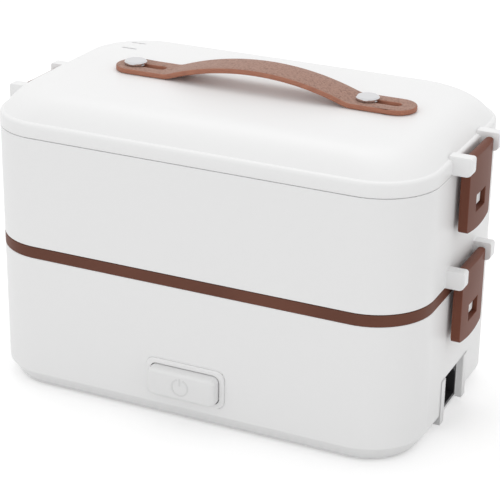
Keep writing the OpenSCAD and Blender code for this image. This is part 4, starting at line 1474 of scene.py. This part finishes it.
@dataclass
class PowerButton:
    """Cap with broad rounded edges, its flange and post, and the raised power sign."""

    width: float = 37.8
    height: float = 15.2
    radius: float = 3.2
    corner_steps: int = 8
    middle_z: float = 24.2
    back: float = -66.8
    front: float = -76.6
    # The front's rounding, along which the corners' radius gives way by a share of the inset.
    edge: float = 2.0
    edge_steps: int = 6
    corner_share: float = 0.6
    flange: float = 1.2
    post_d: float = 4.0
    post_z: float = 22.6
    post_end: float = -63.7
    # How deep the post's end stands in the cap.
    post_root: float = 1.0
    sign_d: float = 8.8
    sign_line: float = 0.8
    sign_rise: float = 0.25
    # How deep the sign stands in the cap, so that no gap shows under it.
    sign_root: float = 0.2
    # The ring's gap in degrees, and where the stroke in it starts, from the ring's middle.
    sign_gap: float = 44.0
    sign_steps: int = 44
    stroke_from: float = 1.0
    board_y: float = -57.0
    travel: float = 1.5
    # The pressed spring stays this much clear of the cap.
    spring_spare: float = 0.15

    def face_loop(self, bm: BMesh, grow: float, y: float, radius: float) -> list[BMEdge]:
        """A rounded rectangle that stands upright in the box's front.

        Args:
            bm: Mesh that takes it.
            grow: How far each side lies outside the cap's outline.
            y: Its place along Y.
            radius: Radius of its corners.

        Returns:
            The loop's edges.
        """
        loop = rounded_loop(
            bm, self.width + 2 * grow, self.height + 2 * grow, radius, 0, steps=self.corner_steps
        )
        verts = list({v for edge in loop for v in edge.verts})
        bmesh.ops.rotate(bm, cent=(0, 0, 0), matrix=Matrix.Rotation(math.pi / 2, 3, "X"), verts=verts)
        bmesh.ops.translate(bm, vec=at(0, y, self.middle_z), verts=verts)
        return loop

    def cap_body(self) -> BMesh:
        """Flange, straight sides and the rounded front.

        Returns:
            One closed solid.
        """
        bm = bmesh.new()
        steps = [
            (self.flange, self.back + self.flange, self.radius - self.flange),
            (self.flange, self.back, self.radius - self.flange),
            (0.0, self.back, self.radius),
            (0.0, self.front + self.edge, self.radius),
        ]
        for step in range(1, self.edge_steps + 1):
            turn = math.radians(90 * step / self.edge_steps)
            inset = self.edge * (1 - math.cos(turn))
            y = self.front + self.edge * (1 - math.sin(turn))
            steps.append((-inset, y, self.radius - self.corner_share * inset))
        loops = [self.face_loop(bm, grow, y, radius) for grow, y, radius in steps]
        loft(bm, loops)
        cap(bm, loops[0])
        cap(bm, loops[-1])
        outward(bm)
        return bm

    def sign(self) -> BMesh:
        """The raised ring with its gap, and the stroke in the gap.

        Returns:
            Two closed solids.
        """
        bm = bmesh.new()
        ring = self.sign_d / 2
        half = self.sign_line / 2
        low, high = self.front + self.sign_root, self.front - self.sign_rise
        corners = ((-half, low), (half, low), (half, high), (-half, high))
        section = [bm.verts.new(at(ring + across, y, 0)) for across, y in corners]
        rim = [bm.edges.new((section[i - 1], section[i])) for i in range(len(section))]
        bmesh.ops.spin(
            bm,
            geom=[*section, *rim],
            cent=(0, 0, 0),
            axis=(0, 1, 0),
            angle=math.radians(360 - self.sign_gap),
            steps=self.sign_steps,
        )
        bmesh.ops.holes_fill(bm, edges=bm.edges, sides=len(section))
        turn = Matrix.Rotation(math.radians(self.sign_gap / 2 - 90), 3, "Y")
        bmesh.ops.rotate(bm, cent=(0, 0, 0), matrix=turn, verts=bm.verts)
        block(bm, (-half, high, self.stroke_from), (half, low, ring + half))
        bmesh.ops.translate(bm, vec=at(0, 0, self.middle_z), verts=bm.verts)
        outward(bm)
        return bm

    def spring(self) -> None:
        """Adds a copy of the spring."""
        coil = copied("button_spring")
        piece = finished(
            coil, "return_spring", Finishes.SPRING, "base", ["button_spring"], sharp_from=60
        )
        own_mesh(piece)

    def build(self) -> None:
        """Builds the cap with its post, the sign and the spring."""
        post = bmesh.new()
        rod(post, (0, self.back - self.post_root, self.post_z), (0, self.post_end, self.post_z), self.post_d)
        bm = combined(self.cap_body(), post, Join.ADD)
        button = Finishes.BUTTON
        finished(bm, "power_button_cap", button, "button", ["power_button"], sharp_from=40)
        finished(self.sign(), "power_sign", Finishes.SIGN, "button")
        self.spring()


def main() -> None:
    """Builds the studio and every sub-assembly."""
    logging.basicConfig(level=logging.INFO, format="%(message)s")
    Studio().build()
    for assembly in (Lid(), CarryStrap(), Latches(), UpperTier(), Bowls(), Base(), PowerButton()):
        assembly.build()


if __name__ == "__main__":
    main()
